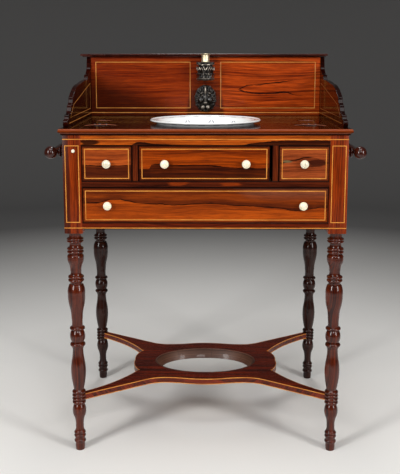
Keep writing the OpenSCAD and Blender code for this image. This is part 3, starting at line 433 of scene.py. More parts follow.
def dress(node, material, ease=0.0):
    """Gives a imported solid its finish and, with ease in millimetres, rounded edges."""
    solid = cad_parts[node]
    solid.material_slots[0].material = material
    if ease:
        solid.modifiers.new("joined", "WELD").merge_threshold = 1e-6
        rounding = solid.modifiers.new("eased", "BEVEL")
        rounding.width = ease * MM
        rounding.segments = 2
        rounding.limit_method = "ANGLE"
        rounding.angle_limit = radians(50)


# Marks in oak, as in rosewood
OAK_PORE, OAK_FLECK = (9, 0.7, 0.7), (5, 1.5, 9)
OAK_BEND_REACH, OAK_BAND_W = 50, 6


def oak(name, grain, seed, light, deep):
    """Plain oak, with pores along the grain and pale flecks across it."""
    wood = Finish(name, {"Specular IOR Level": 0.3})
    along, across, depth = wood.grained(grain)
    bend = wood.marks((along, across, depth), BEND, seed)
    line = across + depth * 0.5 + (bend - 0.5) * OAK_BEND_REACH
    growth = wood.bands(line / OAK_BAND_W + seed * 3, detail=3)
    pores = wood.marks((along, line, depth), OAK_PORE, detail=3)
    flecks = wood.marks((along, across, depth), OAK_FLECK, seed).above(0.66, 8)
    colour = wood.mix(((growth - 0.5) * 2 + 0.5).held(), deep, light)
    colour = wood.mix(flecks * 0.3, colour, light)
    colour = wood.mix((pores - 0.45).held() * 1.8, colour, paint(70, 48, 30))
    return wood.done(colour, 0.5 + pores * 0.25, pores, 0.12)


# Each rail and partition is painted darker along its border, and black at its very edge, as painted
# shade from the gaps and joints round it
# The top rail is bright, with a knot at its left end and a dark lower edge that comes and goes
dress("top_rail", rosewood(
    "top_rail_veneer", "XZ", 2.3, ORANGE, RUSSET, rim=("top_rail", 2), figures=[
        ([(-310, 801), (-185, 801), (-168, 812), (-120, 808), (-60, 805), (10, 803), (60, 802),
          (117, 810), (165, 815), (240, 817), (310, 816)], -1, 40, paint(44, 18, 10))],
    knots=[(-286, 811, 24, 7, BLACK)]), CASE_EASE)
# The middle rail is dark, with two short stretches of orange
dress("mid_rail", rosewood(
    "mid_rail_veneer", "XZ", 5.1, paint(98, 40, 18), paint(50, 18, 8),
    rim=("mid_rail", 2.5), knots=[(-66, 708, 24, 5, RUSSET), (62, 708, 28, 5, RUSSET)]), CASE_EASE)
dress("bottom_rail", rosewood(
    "bottom_rail_veneer", "XZ", 8.7, paint(108, 38, 12), paint(56, 17, 7),
    rim=("bottom_rail", 2)), CASE_EASE)
end_veneer = rosewood("end_panel_veneer", "YZ", 6.2, ORANGE, RUSSET)
for hand, grain in (("left", 8.4), ("right", 9.4)):
    partition = f"partition_{hand}"
    # Its border is painted darker, and black at the edge, as painted shade from the gaps beside it
    dress(partition, rosewood(
        f"{partition}_veneer", "ZX", grain, paint(118, 50, 22), paint(60, 22, 10),
        rim=(partition, 1.5)), CASE_EASE)
    dress(f"side_panel_{hand}", end_veneer, CASE_EASE)
dress("back_panel", oak("carcase_oak", "XZ", 1.7, paint(162, 118, 78), paint(120, 82, 50)))
dress("dust_board", oak("dust_board_oak", "XY", 3.1, paint(160, 126, 86), paint(122, 90, 58)))
runner_oak = oak("runner_oak", "YX", 9.4, paint(150, 118, 80), paint(114, 84, 54))
dress("upper_guides", runner_oak)
dress("lower_runners", runner_oak)

# ---------- Drawers ----------
# Fronts of veneered pine with oak sides dovetailed into them. Each front is cut from its own
# leaf, so the dark growth lines differ: a straight one across the left and middle fronts, a
# thin arch on the right one and a long wave on the wide front below.

# Each front's light and dark tone, and its figure
LEAVES = {
    "left": (paint(176, 81, 33), paint(118, 50, 24), {"figures": [
        ([(-306, 757), (-240, 754), (-180, 756)], -1, 70, SHADOW)]}),
    "centre": (paint(170, 70, 14), paint(98, 36, 9), {"figures": [
        ([(-165, 747), (-161, 746), (-138, 747), (-132, 758), (-60, 757), (0, 756), (80, 750),
          (161, 748)], -1, 90, paint(46, 18, 10))]}),
    "right": (paint(168, 80, 40), paint(106, 46, 24), {"figures": [
        ([(176, 762), (192, 761), (207, 765), (230, 770), (246, 775), (270, 772), (293, 767),
          (308, 763)], 0, 3.2, BLACK),
        ([(250, 756), (262, 753), (293, 751), (308, 749)], 0, 2.4, BLACK)],
        "knots": [(274, 762, 25, 10, paint(54, 22, 13)), (200, 765, 14, 3.5, paint(104, 92, 64))]}),
    "long": (paint(178, 77, 20), paint(116, 46, 13), {"figures": [
        ([(-306, 659), (-263, 661), (-230, 669), (-205, 668), (-176, 661), (-140, 658), (-68, 655),
          (-1, 659), (61, 655), (135, 651), (195, 646), (228, 641), (269, 647), (306, 650)],
         1, 16, paint(68, 27, 12))], "shades": [
        # The greyish brown tint over its upper right is a painted reflection, a haze of light in
        # the polish
        ([(-306, 720), (30, 720), (70, 690), (110, 668), (306, 664)],
         1, 26, paint(140, 84, 62), 0.5)]}),
}

# A knob's outline from inside the drawer front outwards: radius, distance and bulge
KNOB = [(0, -2, 0), (6.2, -2, 0), (6.2, 0, 0), (6.2, 1.6, 0), (4.2, 3, 0.8), (5, 7.1, 0),
        (9, 8.5, -1.1), (9.9, 11, -0.6), (9.4, 13.6, -0.5), (8.2, 14.8, 0), (8, 14.6, 0),
        (7.6, 15.1, -0.8), (0, 17, 0)]
# Marks in bone: the size of its clouds, and of its flecks along each axis
BONE_CLOUD, BONE_FLECK = (9, 9, 9), (1 / 1.3, 4, 1 / 1.3)


def bone(name):
    """Polished bone: warm white, with faint brown flecks and softly clouded."""
    finish = Finish(name, {"Subsurface Weight": 0.12, "Subsurface Scale": 0.003,
                           "Coat Weight": 0.4, "Coat Roughness": 0.1})
    axes = finish.place()
    cloud = finish.marks(axes.values(), BONE_CLOUD)
    fleck = finish.marks(axes.values(), BONE_FLECK, detail=3)
    colour = finish.mix(cloud.above(0.4, 2.5), paint(247, 238, 212), paint(234, 218, 182))
    colour = finish.mix(fleck.above(0.6, 7) * 0.35, colour, paint(188, 158, 112))
    return finish.done(colour, 0.28 + fleck * 0.12, fleck, 0.05)


LINE_STRETCH = (35, 35, 35)
# The lines in the gallery's right side, which lie beyond these places, are painted browner, as
# painted shade like the side itself
SHADED_LINES_X, SHADED_LINES_Z = 343, 845


def boxwood(name):
    """A thin line of boxwood, yellowed under its polish, with short darker stretches."""
    finish = Finish(name, {"Specular IOR Level": 0.3})
    axes = finish.place()
    stretch = finish.marks(axes.values(), LINE_STRETCH, detail=3)
    colour = finish.mix(stretch.above(0.35, 3), paint(220, 146, 66), paint(188, 112, 44))
    # Painted shade darkens the lines in the gallery's right side
    shaded_lines = (axes["X"] - SHADED_LINES_X).held() * (axes["Z"] - SHADED_LINES_Z).held()
    colour = finish.mix(shaded_lines * 0.7, colour, paint(112, 52, 22))
    return finish.done(colour, 0.3 + stretch * 0.1, stretch, 0.03)


bone_finish = bone("turned_bone")
line_finish = boxwood("boxwood_line")
# A drawer's other pieces and their finish
DRAWER_PARTS = {
    "sides": oak("drawer_lining_oak", "YZ", 12.6, paint(178, 142, 98), paint(140, 106, 68)),
    "bottom": oak("drawer_bottom_oak", "XY", 15.2, paint(182, 146, 102), paint(146, 112, 74)),
    "back": oak("drawer_back_oak", "XZ", 18.9, paint(174, 138, 95), paint(138, 104, 66)),
    "stringing": line_finish,
}
for number, (drawer, (light, deep, pattern)) in enumerate(LEAVES.items()):
    body = f"{drawer}_drawer"
    # Each front's border is painted darker, partly as darker wood and partly as painted shade from
    # the gap round it, and black at its very edge as a painted shadow in the gap
    veneer = rosewood(f"{drawer}_drawer_veneer", "XZ", 11 + number * 2.7, light, deep,
                      rim=(f"{body}_front", 6), **pattern)
    dress(f"{body}_front", veneer, 0.5)
    for part, finish in DRAWER_PARTS.items():
        dress(f"{body}_{part}", finish)
    knob_node = f"{body}_knobs" if drawer in ("centre", "long") else f"{body}_knob"
    low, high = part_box(knob_node)
    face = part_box(f"{body}_front")[0].y
    reach = (high.z - low.z) / 2
    bm = bmesh.new()
    for x in sorted({low.x + reach, high.x - reach}):
        turned(bm, path(KNOB), 48, (x, face, (low.z + high.z) / 2), pi / 2)
    piece(f"{knob_node}_turned", bm, bone_finish, body, knob_node)

# ---------- Lines in the case ----------
# Boxwood lines round the panel of each post and along the rails. They are glued into grooves
# in the veneer and scraped flush, so that the polish runs over them.

dress("case_stringing", line_finish)

# ---------- Top ----------
# One wide board of dark rosewood with a moulded edge round the front and ends, four turned
# dishes for soap and cups, and a round hole for the basin. It is polished like a mirror.

# The top is painted paler along its front edge. Painted highlights run along the upper arris and
# the lower bead of its moulding, with a black painted shade line along the hollow between them
top_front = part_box("top_board")[0].y / MM
dress("top_board", rosewood(
    "top_board_polish", "XY", 21.3, paint(34, 11, 6), paint(15, 5, 3), roughness=0.14,
    specular=0.02, coat=0.14,
    painted_moulding_lines=[(842.8, 1.2, paint(178, 106, 80)), (837.2, 1.3, BLACK),
            (834.4, 1.2, paint(152, 92, 70))],
    shades=[([(-365, top_front + 6), (365, top_front + 6)], -1, 3, paint(132, 58, 26), 0.8)]))

# ---------- Basin ----------
# A round white earthenware bowl on a foot ring. Its wide rolled rim rests on the top, and a
# faint blue grey border of small leaves runs round the inside under the rim.

# The bowl's section from the middle of its foot, out over the rim and back inside
BASIN_WALL = [
    (0, -90, 0), (51, -90, 0), (51, -94, -1), (56, -94, 0), (56, -88, -19.7), (121, -14, 0),
    (121.8, 0, 0), (128, 0, 2.5), (144, 7, -1.4), (145.4, 10.2, -0.9), (143, 11, 0),
    (140, 9.5, -2.5), (120, 1, 0), (116, -14, 19.7), (54, -83, 1), (0, -85, 0),
]
# The border: its count of sprigs, their radius, and where it ends
SPRIGS, SPRIG_R, BORDER_R, BORDER_LOW = 11, 118, 124, -60
# Two leaves and a berry of a sprig: place sideways and up, lean, and half the length
SPRIG = [(5, -5, 0.7, 5), (-5, -5, -0.7, 5), (0, -12, 0, 2)]
# The ring of dashes on the rim, and half its width
DASH_R, DASH_HALF = 132, 2.4


def china(name, middle):
    """White tin-bright glaze with a printed border, and a little unevenness in its gloss."""
    glaze = Finish(name, {"Coat Weight": 0.6, "Coat Roughness": 0.03})
    axes = glaze.place(middle)
    x, y, z = axes["X"], axes["Y"], axes["Z"]
    radius = (x * x + y * y) ** 0.5
    angle = x.maths("ARCTAN2", y, x)
    across = ((angle * (SPRIGS / tau) + SPRIGS).fraction() - 0.5) * (tau * SPRIG_R / SPRIGS)
    ink = 0
    for spot, height, lean, size in SPRIG:
        up = z - height
        right = across - spot + up * lean
        ink = ((1 - (right / 2) * (right / 2) - (up / size) * (up / size)) * 4).held() + ink
    inside = (BORDER_R - radius).held() * z.above(BORDER_LOW, 0.5)
    dash = (angle * (SPRIGS * 2)).wave().above(0.1, 4)
    dash = dash * (DASH_HALF - abs(radius - DASH_R)).held()
    cloud = glaze.marks((x, y, z), (60, 60, 60))
    body = glaze.mix(cloud.above(0.35, 2), paint(244, 244, 240), paint(234, 236, 236))
    ink = ink.held() * inside * 0.75 + dash * (z - 2).held() * 0.5
    colour = glaze.mix(ink, body, paint(104, 110, 134))
    return glaze.done(colour, 0.14 + cloud * 0.06, cloud, 0.2)


low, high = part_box("basin")
basin_middle = (low + high) / 2
basin_middle.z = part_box("top_board")[1].z
bm = bmesh.new()
turned(bm, path(BASIN_WALL, steps=14), 128, basin_middle)
piece("basin_thrown", bm, china("white_glaze", basin_middle), "basin", "basin",
      sharp=50)

# ---------- Gallery ----------
# A backboard between two scroll-ended sides, under a narrow moulded shelf. The sides are cut
# with beads and hollows along their front edges. The figure is darker at the left, and on the
# right panel a pair of fine dark lines meets in a point.

# A side's outline: distance behind the case's front, height above the top, and bulge
SIDE_OUTLINE = [
    (50, 0, 0), (510, 0, 0), (510, 173, 0), (496, 173, 0), (488, 142, 7), (434, 122, 0),
    (430, 122, 3), (426, 112, 0), (423, 108, -2), (284, 100, -8), (150, 72, 0), (147, 71, -2.5),
    (141, 64, 0), (139, 62, 3), (124, 52, 0), (122, 52, -2.5), (115, 46, 0), (112, 44, 5),
    (82, 29, 0), (79, 29, -2.5), (71, 23, 0), (68, 20, 1.5), (58, 17, -3.5), (46, 8, -1.2),
]
# How far behind the case's front the sides begin
SIDE_END = 46


def thickened(bm, faces, way):
    """Draws faces out along way, in metres, into a closed shape."""
    grown = bmesh.ops.extrude_face_region(bm, geom=faces, use_keep_orig=True)["geom"]
    moved = [part for part in grown if isinstance(part, bmesh.types.BMVert)]
    bmesh.ops.translate(bm, verts=moved, vec=way)


def prism(bm, outline, place, thickness):
    """A flat shape with this outline, in millimetres. place turns its two numbers into a point
    in metres, and thickness is the way to its other face."""
    verts = [bm.verts.new(place(a * MM, b * MM)) for a, b in outline]
    thickened(bm, [bm.faces.new(verts)], thickness)


def ease_arrises(bm, width, angle=40):
    """Rounds every edge where two faces meet at more than angle, over a width in millimetres."""
    bmesh.ops.recalc_face_normals(bm, faces=bm.faces)
    eased(bm, [edge for edge in bm.edges if edge.calc_face_angle(0) > radians(angle)], width, 3)


def flat_faced(made):
    """Lets the wide flat faces keep their own gloss right up to the eased arrises."""
    made.modifiers.new("flat_faces", "WEIGHTED_NORMAL").keep_sharp = True


dress("backboard", rosewood(
    "backboard_veneer", "XZ", 31.2, paint(206, 82, 26), paint(110, 34, 9), roughness=0.22,
    specular=0.4, figures=[
        ([(96, 921), (122, 932), (188, 940), (266, 949), (292, 960)], 0, 3.6, BLACK),
        ([(96, 921), (120, 914), (188, 909), (235, 914), (273, 905), (312, 902)], 0, 4.4, BLACK)],
    shades=[
        ([(-345, 800), (-40, 800), (20, 1060), (345, 1060)], 1, 60, paint(96, 28, 7), 0.52),
        # A painted shadow of the sconce runs down the middle of the board below it, and the board
        # is painted darker towards its foot and its lower left
        ([(-345, 985), (-250, 960), (-120, 905), (-60, 872), (-44, 960), (44, 960), (60, 868),
          (345, 868)], -1, 60, SHADOW, 0.85)]), 0.5)
dress("gallery_stringing", line_finish)
dress("cap_shelf", rosewood("cap_shelf_veneer", "XY", 27.5, paint(86, 34, 20), paint(36, 12, 8),
                            roughness=0.24, specular=0.3, coat=0.1), 0.6)
# Both sides are of one veneer, and the right one is painted darker than the left as painted shade
SIDE_TONES = {"left": (paint(52, 17, 8), paint(23, 8, 4)),
              "right": (paint(36, 11, 6), paint(16, 5, 3))}
for side, hand in ((-1, "left"), (1, "right")):
    node = f"gallery_side_{hand}"
    veneer = rosewood(f"{node}_veneer", "YZ", 24.8, *SIDE_TONES[hand], roughness=0.2,
                      specular=0.03, coat=0.3)
    low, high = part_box(node)
    outer = low.x if side < 0 else high.x
    depth = (high.x - low.x) - LINE_PROUD * MM
    start = low.y - SIDE_END * MM
    bm = bmesh.new()
    prism(bm, path(SIDE_OUTLINE, closed=True), lambda y, z: (outer, start + y, low.z + z),
          (-side * depth, 0, 0))
    ease_arrises(bm, 1.1)
    flat_faced(piece(f"{node}_scrolled", bm, veneer, "stand", node))

# ---------- Sconce ----------
# A cast bronze lion's mask screwed to the backboard, with a leafy capital above it that
# carries a bright nozzle for one candle. The bronze is nearly black, rubbed paler where it
# stands out.

# Marks in the metals, alike along the three axes
MOTTLE, GRIT, TARNISH, BLOOM = (6, 6, 6), (2 / 3, 2 / 3, 2 / 3), (8, 8, 8), (3, 3, 3)


def bronze(name, proud=-1.0, worn=15):
    """Cast bronze with a nearly black skin, rubbed to bright metal on its edges, as far as worn
    says, and on what stands further out than proud, a place on the Y axis in metres."""
    metal = Finish(name, {"Specular IOR Level": 0.6})
    axes = metal.place()
    mottle = metal.marks(axes.values(), MOTTLE, detail=4)
    grit = metal.marks(axes.values(), GRIT, detail=3)
    pointed = metal.node("NewGeometry", {}, {}, "Pointiness")
    high = ((proud / MM - axes["Y"]) / 4).held()
    rubbed = ((pointed - 0.525) * worn + (mottle - 0.5) * 0.7 + high * 0.45).held()
    colour = metal.mix(mottle.above(0.4, 3), paint(22, 19, 17), paint(44, 38, 32))
    metal.link("Metallic", 0.2 + rubbed * 0.75)
    colour = metal.mix(rubbed, colour, paint(232, 216, 196))
    return metal.done(colour, 0.24 + grit * 0.1, grit, 0.05)


def egg(bm, middle, radii, turn=0.0, detail=10):
    """A swelling of the casting: an ellipsoid in millimetres, turned about the axis that looks
    out of the wall. middle is the way right, out and up."""
    right, out, up = middle
    matrix = (Matrix.Translation((right * MM, -out * MM, up * MM)) @ Matrix.Rotation(turn, 4, "Y")
              @ Matrix.Diagonal((*(radius * MM for radius in radii), 1)))
    return bmesh.ops.create_uvsphere(bm, u_segments=detail, v_segments=detail - 2, radius=1,
                                     matrix=matrix)["verts"]


MASK_W, MASK_H, PLATE_T = 64, 82, 5
# Brow, eye, cheek, muzzle pad and ear, on both sides: way right, out and up, radii and turn
FACE_SIDES = [
    ((11, 13.5, 17), (8, 4.4, 3.6), 0.55), ((9.5, 11.2, 9.5), (3.2, 2.8, 2.4), 0.4),
    ((13.5, 10.5, -4), (9, 7.5, 10.5), -0.2), ((7.6, 13.5, -25.5), (8, 7.4, 7.2), 0.3),
    ((22, 8, 22), (4, 4, 5.5), 0.8),
]
# Ridge of the forehead, bridge of the nose, nose and chin
FACE_MIDDLE = [
    ((0, 15.5, 24), (4.2, 5.2, 14)), ((0, 14, 1), (5.2, 4.6, 15)),
    ((0, 15, -12.5), (7, 4.6, 4.4)), ((0, 9, -35), (6.5, 4.4, 3.6)),
]
# The mane's rings of locks: count, distance out as a share of the plate, lift, width, shift
LOCKS = [(20, 0.84, 6, 3.0, 0.0), (16, 0.66, 10, 2.7, 0.5)]
# How far a lock leans to a side, and how far its swellings are apart, as a share of the plate
LOCK_SWAY, LOCK_STEP = 0.2, 0.085
low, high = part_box("sconce_mask")
wall = high.y
mask_middle = Vector(((low.x + high.x) / 2, wall, low.z + MASK_H / 2 * MM))
bm = bmesh.new()
plate = bmesh.ops.create_cone(bm, cap_ends=True, segments=64, radius1=1, radius2=0.93, depth=1)
bmesh.ops.transform(bm, verts=plate["verts"], matrix=(
    Matrix.Translation((0, -PLATE_T / 2 * MM, 0)) @ Matrix.Rotation(pi / 2, 4, "X")
    @ Matrix.Diagonal((MASK_W / 2 * MM, MASK_H / 2 * MM, PLATE_T * MM, 1))))
egg(bm, (0, 3, 0), (26, 7, 34), detail=24)
egg(bm, (0, 6, 2), (19, 7, 24), detail=24)
for side in (-1, 1):
    for (right, out, up), radii, turn in FACE_SIDES:
        egg(bm, (side * right, out, up), radii, side * turn)
for middle, radii in FACE_MIDDLE:
    egg(bm, middle, radii)
for count, ring, lift, width, shift in LOCKS:
    for lock in range(count):
        angle = tau * (lock + shift) / count
        sway = LOCK_SWAY if lock % 2 else -LOCK_SWAY
        for step in range(3):
            out = ring + (step - 1) * LOCK_STEP
            bend = angle + sway * step * 0.3
            right, up = sin(bend) * MASK_W / 2 * out, cos(bend) * MASK_H / 2 * out
            size = width - step * 0.5
            egg(bm, (right, lift - step * 0.9, up), (size, size * 1.2, size * 1.9),
                atan2(right, up) + sway, detail=8)
put(bm, bm.verts, mask_middle)
mask = piece("sconce_lion_mask", bm, bronze("mask_bronze", wall - 0.016), "stand",
             "sconce_mask")
# Its swellings are melted into one skin
skin = mask.modifiers.new("one_skin", "REMESH")
skin.mode = "VOXEL"
skin.voxel_size = 0.8 * MM
skin.use_smooth_shade = True
softening = mask.modifiers.new("softened", "SMOOTH")
softening.factor = 0.5
softening.iterations = 2

# The capital: a bell with two rows of curling leaves, under a plate with hollowed sides
CAPITAL_R, LEAF_T = 29, 1.1
BELL = [(0, 0, 0), (23.5, 0, 0), (25.5, 3, -1.5), (24.5, 6, 0), (21, 8, 0), (20, 10, 1.2),
        (21, 38, 2.5), (25.5, 45, 0), (25.5, 46, 0), (0, 46, 0)]
# Rows of leaves: count, shift, foot, height, radius, half width, curl, and lean to one side
LEAF_ROWS = [(8, 0.0, 2, 22, 23.0, 9.5, 2.6, 5), (8, 0.5, 19, 26, 22.5, 11.0, 3.4, -7)]


def leaf(bm, turn, foot, height, radius, width, curl, tilt):
    """An acanthus leaf on the bell: ribbed, lobed at its edges, with its tip curling out."""
    rows, columns = 16, 8
    before = set(bm.verts)
    bmesh.ops.create_grid(bm, x_segments=columns, y_segments=rows, size=1)
    made = [vert for vert in bm.verts if vert not in before]
    for vert in made:
        across, up = vert.co.x, (vert.co.y + 1) / 2
        lobes = 0.84 + 0.16 * cos(up * 5 * tau)
        spread = width * lobes * (0.5 + up * 0.75) * (1 - 0.98 * up ** 6) ** 0.5
        tip = max(0.0, up - 0.62) / 0.38
        lean = radius + up * 2 + curl * tip ** 1.6 - abs(across) * 1.6 * (1 - tip)
        lean += 0.7 * (1 - abs(across)) + 0.35 * cos(across * 3 * pi)
        rise = foot + height * (up - 0.22 * tip ** 3)
        vert.co = Vector((across * spread + tilt * (up - 0.5), -lean, rise)) * MM
    faces = list({face for vert in made for face in vert.link_faces})
    bmesh.ops.solidify(bm, geom=faces, thickness=LEAF_T * MM)
    put(bm, [vert for vert in bm.verts if vert not in before], (0, 0, 0), turn, "Z")


low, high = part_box("sconce_capital")
capital_middle = Vector(((low.x + high.x) / 2, low.y + CAPITAL_R * MM, low.z))
bm = bmesh.new()
turned(bm, path(BELL), 48)
for count, shift, *sizes in LEAF_ROWS:
    for number in range(count):
        leaf(bm, tau * (number + shift) / count, *sizes)
# Slanting ribs round the leaves' curling tips lean away from the middle of the front
RIBS, RIB_R, RIB_UP = 22, 25.4, 35
for number in range(RIBS):
    turn = tau * (number + 0.5) / RIBS - pi
    rib = egg(bm, (0, RIB_R, RIB_UP), (1.3, 1.7, 6.2), copysign(0.5, turn), detail=8)
    put(bm, rib, (0, 0, 0), turn, "Z")
# The plate on top has four hollowed sides and blunt corners, and its upper half stands out
PLATE_HOLLOW, PLATE_UP = 3.2, 46
for bottom, top, reach in ((PLATE_UP, 49, 0.88), (49, 53, 0.92)):
    half = CAPITAL_R * reach
    corner = half * 0.86
    keys = []
    for quarter in range(4):
        spin = Matrix.Rotation(quarter * pi / 2, 2)
        keys.append((*(spin @ Vector((half, -corner))), PLATE_HOLLOW))
        keys.append((*(spin @ Vector((half, corner))), 0))
    prism(bm, path(keys, closed=True), lambda x, y: (x, y, bottom * MM),
          (0, 0, (top - bottom) * MM))
# A block behind the bell carries the capital on the backboard
block(bm, (-11 * MM, 0, 3 * MM), (11 * MM, wall - capital_middle.y, PLATE_UP * MM), 1)
put(bm, bm.verts, capital_middle)
capital = piece("sconce_leaf_capital", bm, bronze("capital_bronze", worn=10), "stand",
                "sconce_capital")
capital.data.materials.append(bronze("plate_bronze", worn=0))
for polygon in capital.data.polygons:
    polygon.material_index = polygon.center.z > capital_middle.z + (PLATE_UP + 0.01) * MM


def brass(name):
    """Pale polished brass with faint turning marks and a little tarnish."""
    metal = Finish(name, {"Metallic": 1.0})
    axes = metal.place()
    tarnish = metal.marks(axes.values(), TARNISH, detail=4)
    colour = metal.mix(tarnish.above(0.4, 2), paint(240, 228, 196), paint(208, 188, 146))
    marks = metal.bands(axes["Z"] * 2.2, detail=3)
    return metal.done(colour, 0.42 + tarnish * 0.16, marks, 0.02)


# The nozzle is a straight cup with a rolled lip and a bead at its foot, bored for the candle
NOZZLE = [(0, 0, 0), (11.2, 0, 0), (12.2, 0.6, -0.6), (12.2, 2.2, 0), (11.9, 2.8, 0),
          (11.9, 20.6, 0.5), (13.6, 23.2, -0.8), (13.6, 24.6, 0), (13.2, 25, 0), (11.4, 25, 0),
          (11, 24.6, 0), (11, 5, 0), (0, 5, 0)]
low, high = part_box("candle_nozzle")
bm = bmesh.new()
turned(bm, path(NOZZLE), 64, ((low.x + high.x) / 2, (low.y + high.y) / 2, low.z))
piece("candle_nozzle_turned", bm, brass("pale_brass"), "stand", "candle_nozzle")


def steel(name):
    """Plain steel with fine scratches and a brown bloom."""
    metal = Finish(name, {"Metallic": 1.0})
    bloom = metal.marks(metal.place().values(), BLOOM, detail=4)
    colour = metal.mix(bloom, paint(170, 168, 164), paint(112, 98, 84))
    return metal.done(colour, 0.3 + bloom * 0.25, bloom, 0.03)


dress("sconce_screws", steel("screw_steel"))

# ---------- Towel rails ----------
# A turned rail with ball ends runs from front to back at each end of the case, held off the
# posts by two turned arms. A small bone-headed pin locks the left front arm's tenon.

# An arm from inside the post outwards, and half a rail: radius, distance and bulge
ARM = [(0, -8, 0), (7, -8, 0), (9.7, -8, 0), (9.7, 3, 1.2), (10.9, 6, -2.6), (10.9, 13, 0),
       (7.6, 14.5, 1), (6, 24, 0), (0, 24, 0)]
RAIL_HALF = [(0, 0, -4.4), (15, 15, -4.6), (5.6, 28.9, 0), (8.1, 29.1, -0.6), (8.1, 30.5, 0),
             (7.5, 30.7, 0), (7.5, 46, 0), (8.5, 46.5, -1), (8.5, 50, 0), (7.5, 50.5, 0),
             (6.8, 61, 0)]
rail_wood = rosewood("towel_rail_rosewood", "YX", 34.1, paint(72, 27, 13), paint(34, 12, 6),
                     veined=0.4, roughness=0.34, specular=0.12, coat=0.65)
for side, hand in ((-1, "left"), (1, "right")):
    node = f"towel_rail_{hand}"
    low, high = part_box(node)
    length = (high.y - low.y) / MM
    half = path(RAIL_HALF, steps=10)
    other = [Vector((radius, length - spot)) for radius, spot in reversed(half)]
    bm = bmesh.new()
    turned(bm, half + other, 56, ((low.x + high.x) / 2, low.y, (low.z + high.z) / 2), -pi / 2)
    piece(f"{node}_turned", bm, rail_wood, "stand", node)
    node = f"towel_arms_{hand}"
    low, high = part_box(node)
    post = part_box(f"leg_front_{hand}")
    face = post[0].x if side < 0 else post[1].x
    reach = (high.z - low.z) / 2
    bm = bmesh.new()
    for y in (low.y + reach, high.y - reach):
        turned(bm, path(ARM), 48, (face, y, (low.z + high.z) / 2), side * pi / 2, "Y")
    piece(f"{node}_turned", bm, rail_wood, "stand", node)

PIN_HEAD = [(0, -1, 0), (4.4, -1, 0), (4.4, 1, -1.2), (0, 3, 0)]
low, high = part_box("bone_pin")
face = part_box("top_rail")[0].y
bm = bmesh.new()
turned(bm, path(PIN_HEAD), 32, ((low.x + high.x) / 2, face, (low.z + high.z) / 2), pi / 2)
piece("bone_pin_head", bm, bone_finish, "stand", "bone_pin")

# ---------- Stretcher ----------
# A flat X-shaped shelf between the legs, with hollowed edges, small lobes at its ends and an
# oval opening. Boxwood lines are let into its upper and lower arrises, and the opening is lined
# with a sloping ring of paler wood, pieced from short lengths.

# The opening inside its lining, the lining's thickness, and the play round it
OVAL_W, OVAL_D, LINING_T, PLAY = 280, 188, 4, 0.05
# The shelf's arms: which way they reach for the legs, and how wide their ends are
ARM_TURN, ARM_W = radians(40.67), 16
# The lines in the arrises: height and width
STRIP_H, STRIP_W = 2, 1.2
low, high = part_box("stretcher")
front_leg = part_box("leg_front_right")
leg_axis = (front_leg[0] + front_leg[1]) / 2
shelf_middle = (low.y + high.y) / 2
leg_x, leg_y = leg_axis.x / MM, (leg_axis.y - shelf_middle) / MM
flare = Vector((-sin(ARM_TURN), -cos(ARM_TURN))) * ARM_W / 2
# A quarter of the shelf's outline, from the middle of its front to the middle of its end
QUARTER = [
    (0, -146, -1.5), (55.5, -140, 1.5), (111, -134, 3.8), (160.6, -148.8, 0),
    (leg_x + flare.x, leg_y + flare.y, 0), (leg_x - flare.x, leg_y - flare.y, 14),
    (188.5, -81.5, 3.4), (188.5, -74.5, -6.3), (203, 0, 0),
]


def quarters(bm, outline, bottom, top):
    """Four mirrored copies of a quarter of the shelf, from one level to another."""
    bm.faces.new([bm.verts.new((x * MM, y * MM, bottom)) for x, y in outline])
    for axis in "XY":
        bmesh.ops.mirror(bm, geom=bm.verts[:] + bm.edges[:] + bm.faces[:], axis=axis,
                         merge_dist=1e-7)
    bmesh.ops.remove_doubles(bm, verts=bm.verts, dist=1e-6)
    bmesh.ops.recalc_face_normals(bm, faces=bm.faces)
    thickened(bm, bm.faces[:], (0, 0, top - bottom))


def drawn_in(points, distance):
    """An open run of points moved to its left by distance."""
    moved = []
    for before, point, after in zip(points[:1] + points, points, points[1:] + points[-1:]):
        way = (after - before).normalized()
        moved.append(point + Vector((-way.y, way.x)) * distance)
    moved[0].x, moved[-1].y = 0, 0
    return moved


edge = path(QUARTER, steps=14)
hole_w, hole_d = (size / 2 + LINING_T + PLAY for size in (OVAL_W, OVAL_D))
oval = [Vector((hole_w * cos(angle), -hole_d * sin(angle)))
        for angle in (pi / 2 * step / 20 for step in range(21))]
shelf_wood = rosewood("stretcher_rosewood", "XY", 41.6, paint(130, 44, 14), paint(56, 15, 6),
                      roughness=0.26, specular=0.25, coat=0.08)
bm = bmesh.new()
quarters(bm, drawn_in(edge, LINE_PROUD) + oval, low.z + LINE_PROUD * MM / 2,
         high.z - LINE_PROUD * MM / 2)
put(bm, bm.verts, (0, shelf_middle, 0))
ease_arrises(bm, 0.5, 60)
flat_faced(piece("stretcher_shelf", bm, shelf_wood, "stand", "stretcher"))
bm = bmesh.new()
for bottom in (low.z, high.z - STRIP_H * MM):
    strip = bmesh.new()
    quarters(strip, edge + drawn_in(edge, STRIP_W)[::-1], bottom, bottom + STRIP_H * MM)
    put(strip, strip.verts, (0, shelf_middle, 0))
    level = bpy.data.meshes.new("line_level")
    strip.to_mesh(level)
    bm.from_mesh(level)
    strip.free()
    bpy.data.meshes.remove(level)
piece("stretcher_lines", bm, line_finish, "stand", "stretcher_stringing")


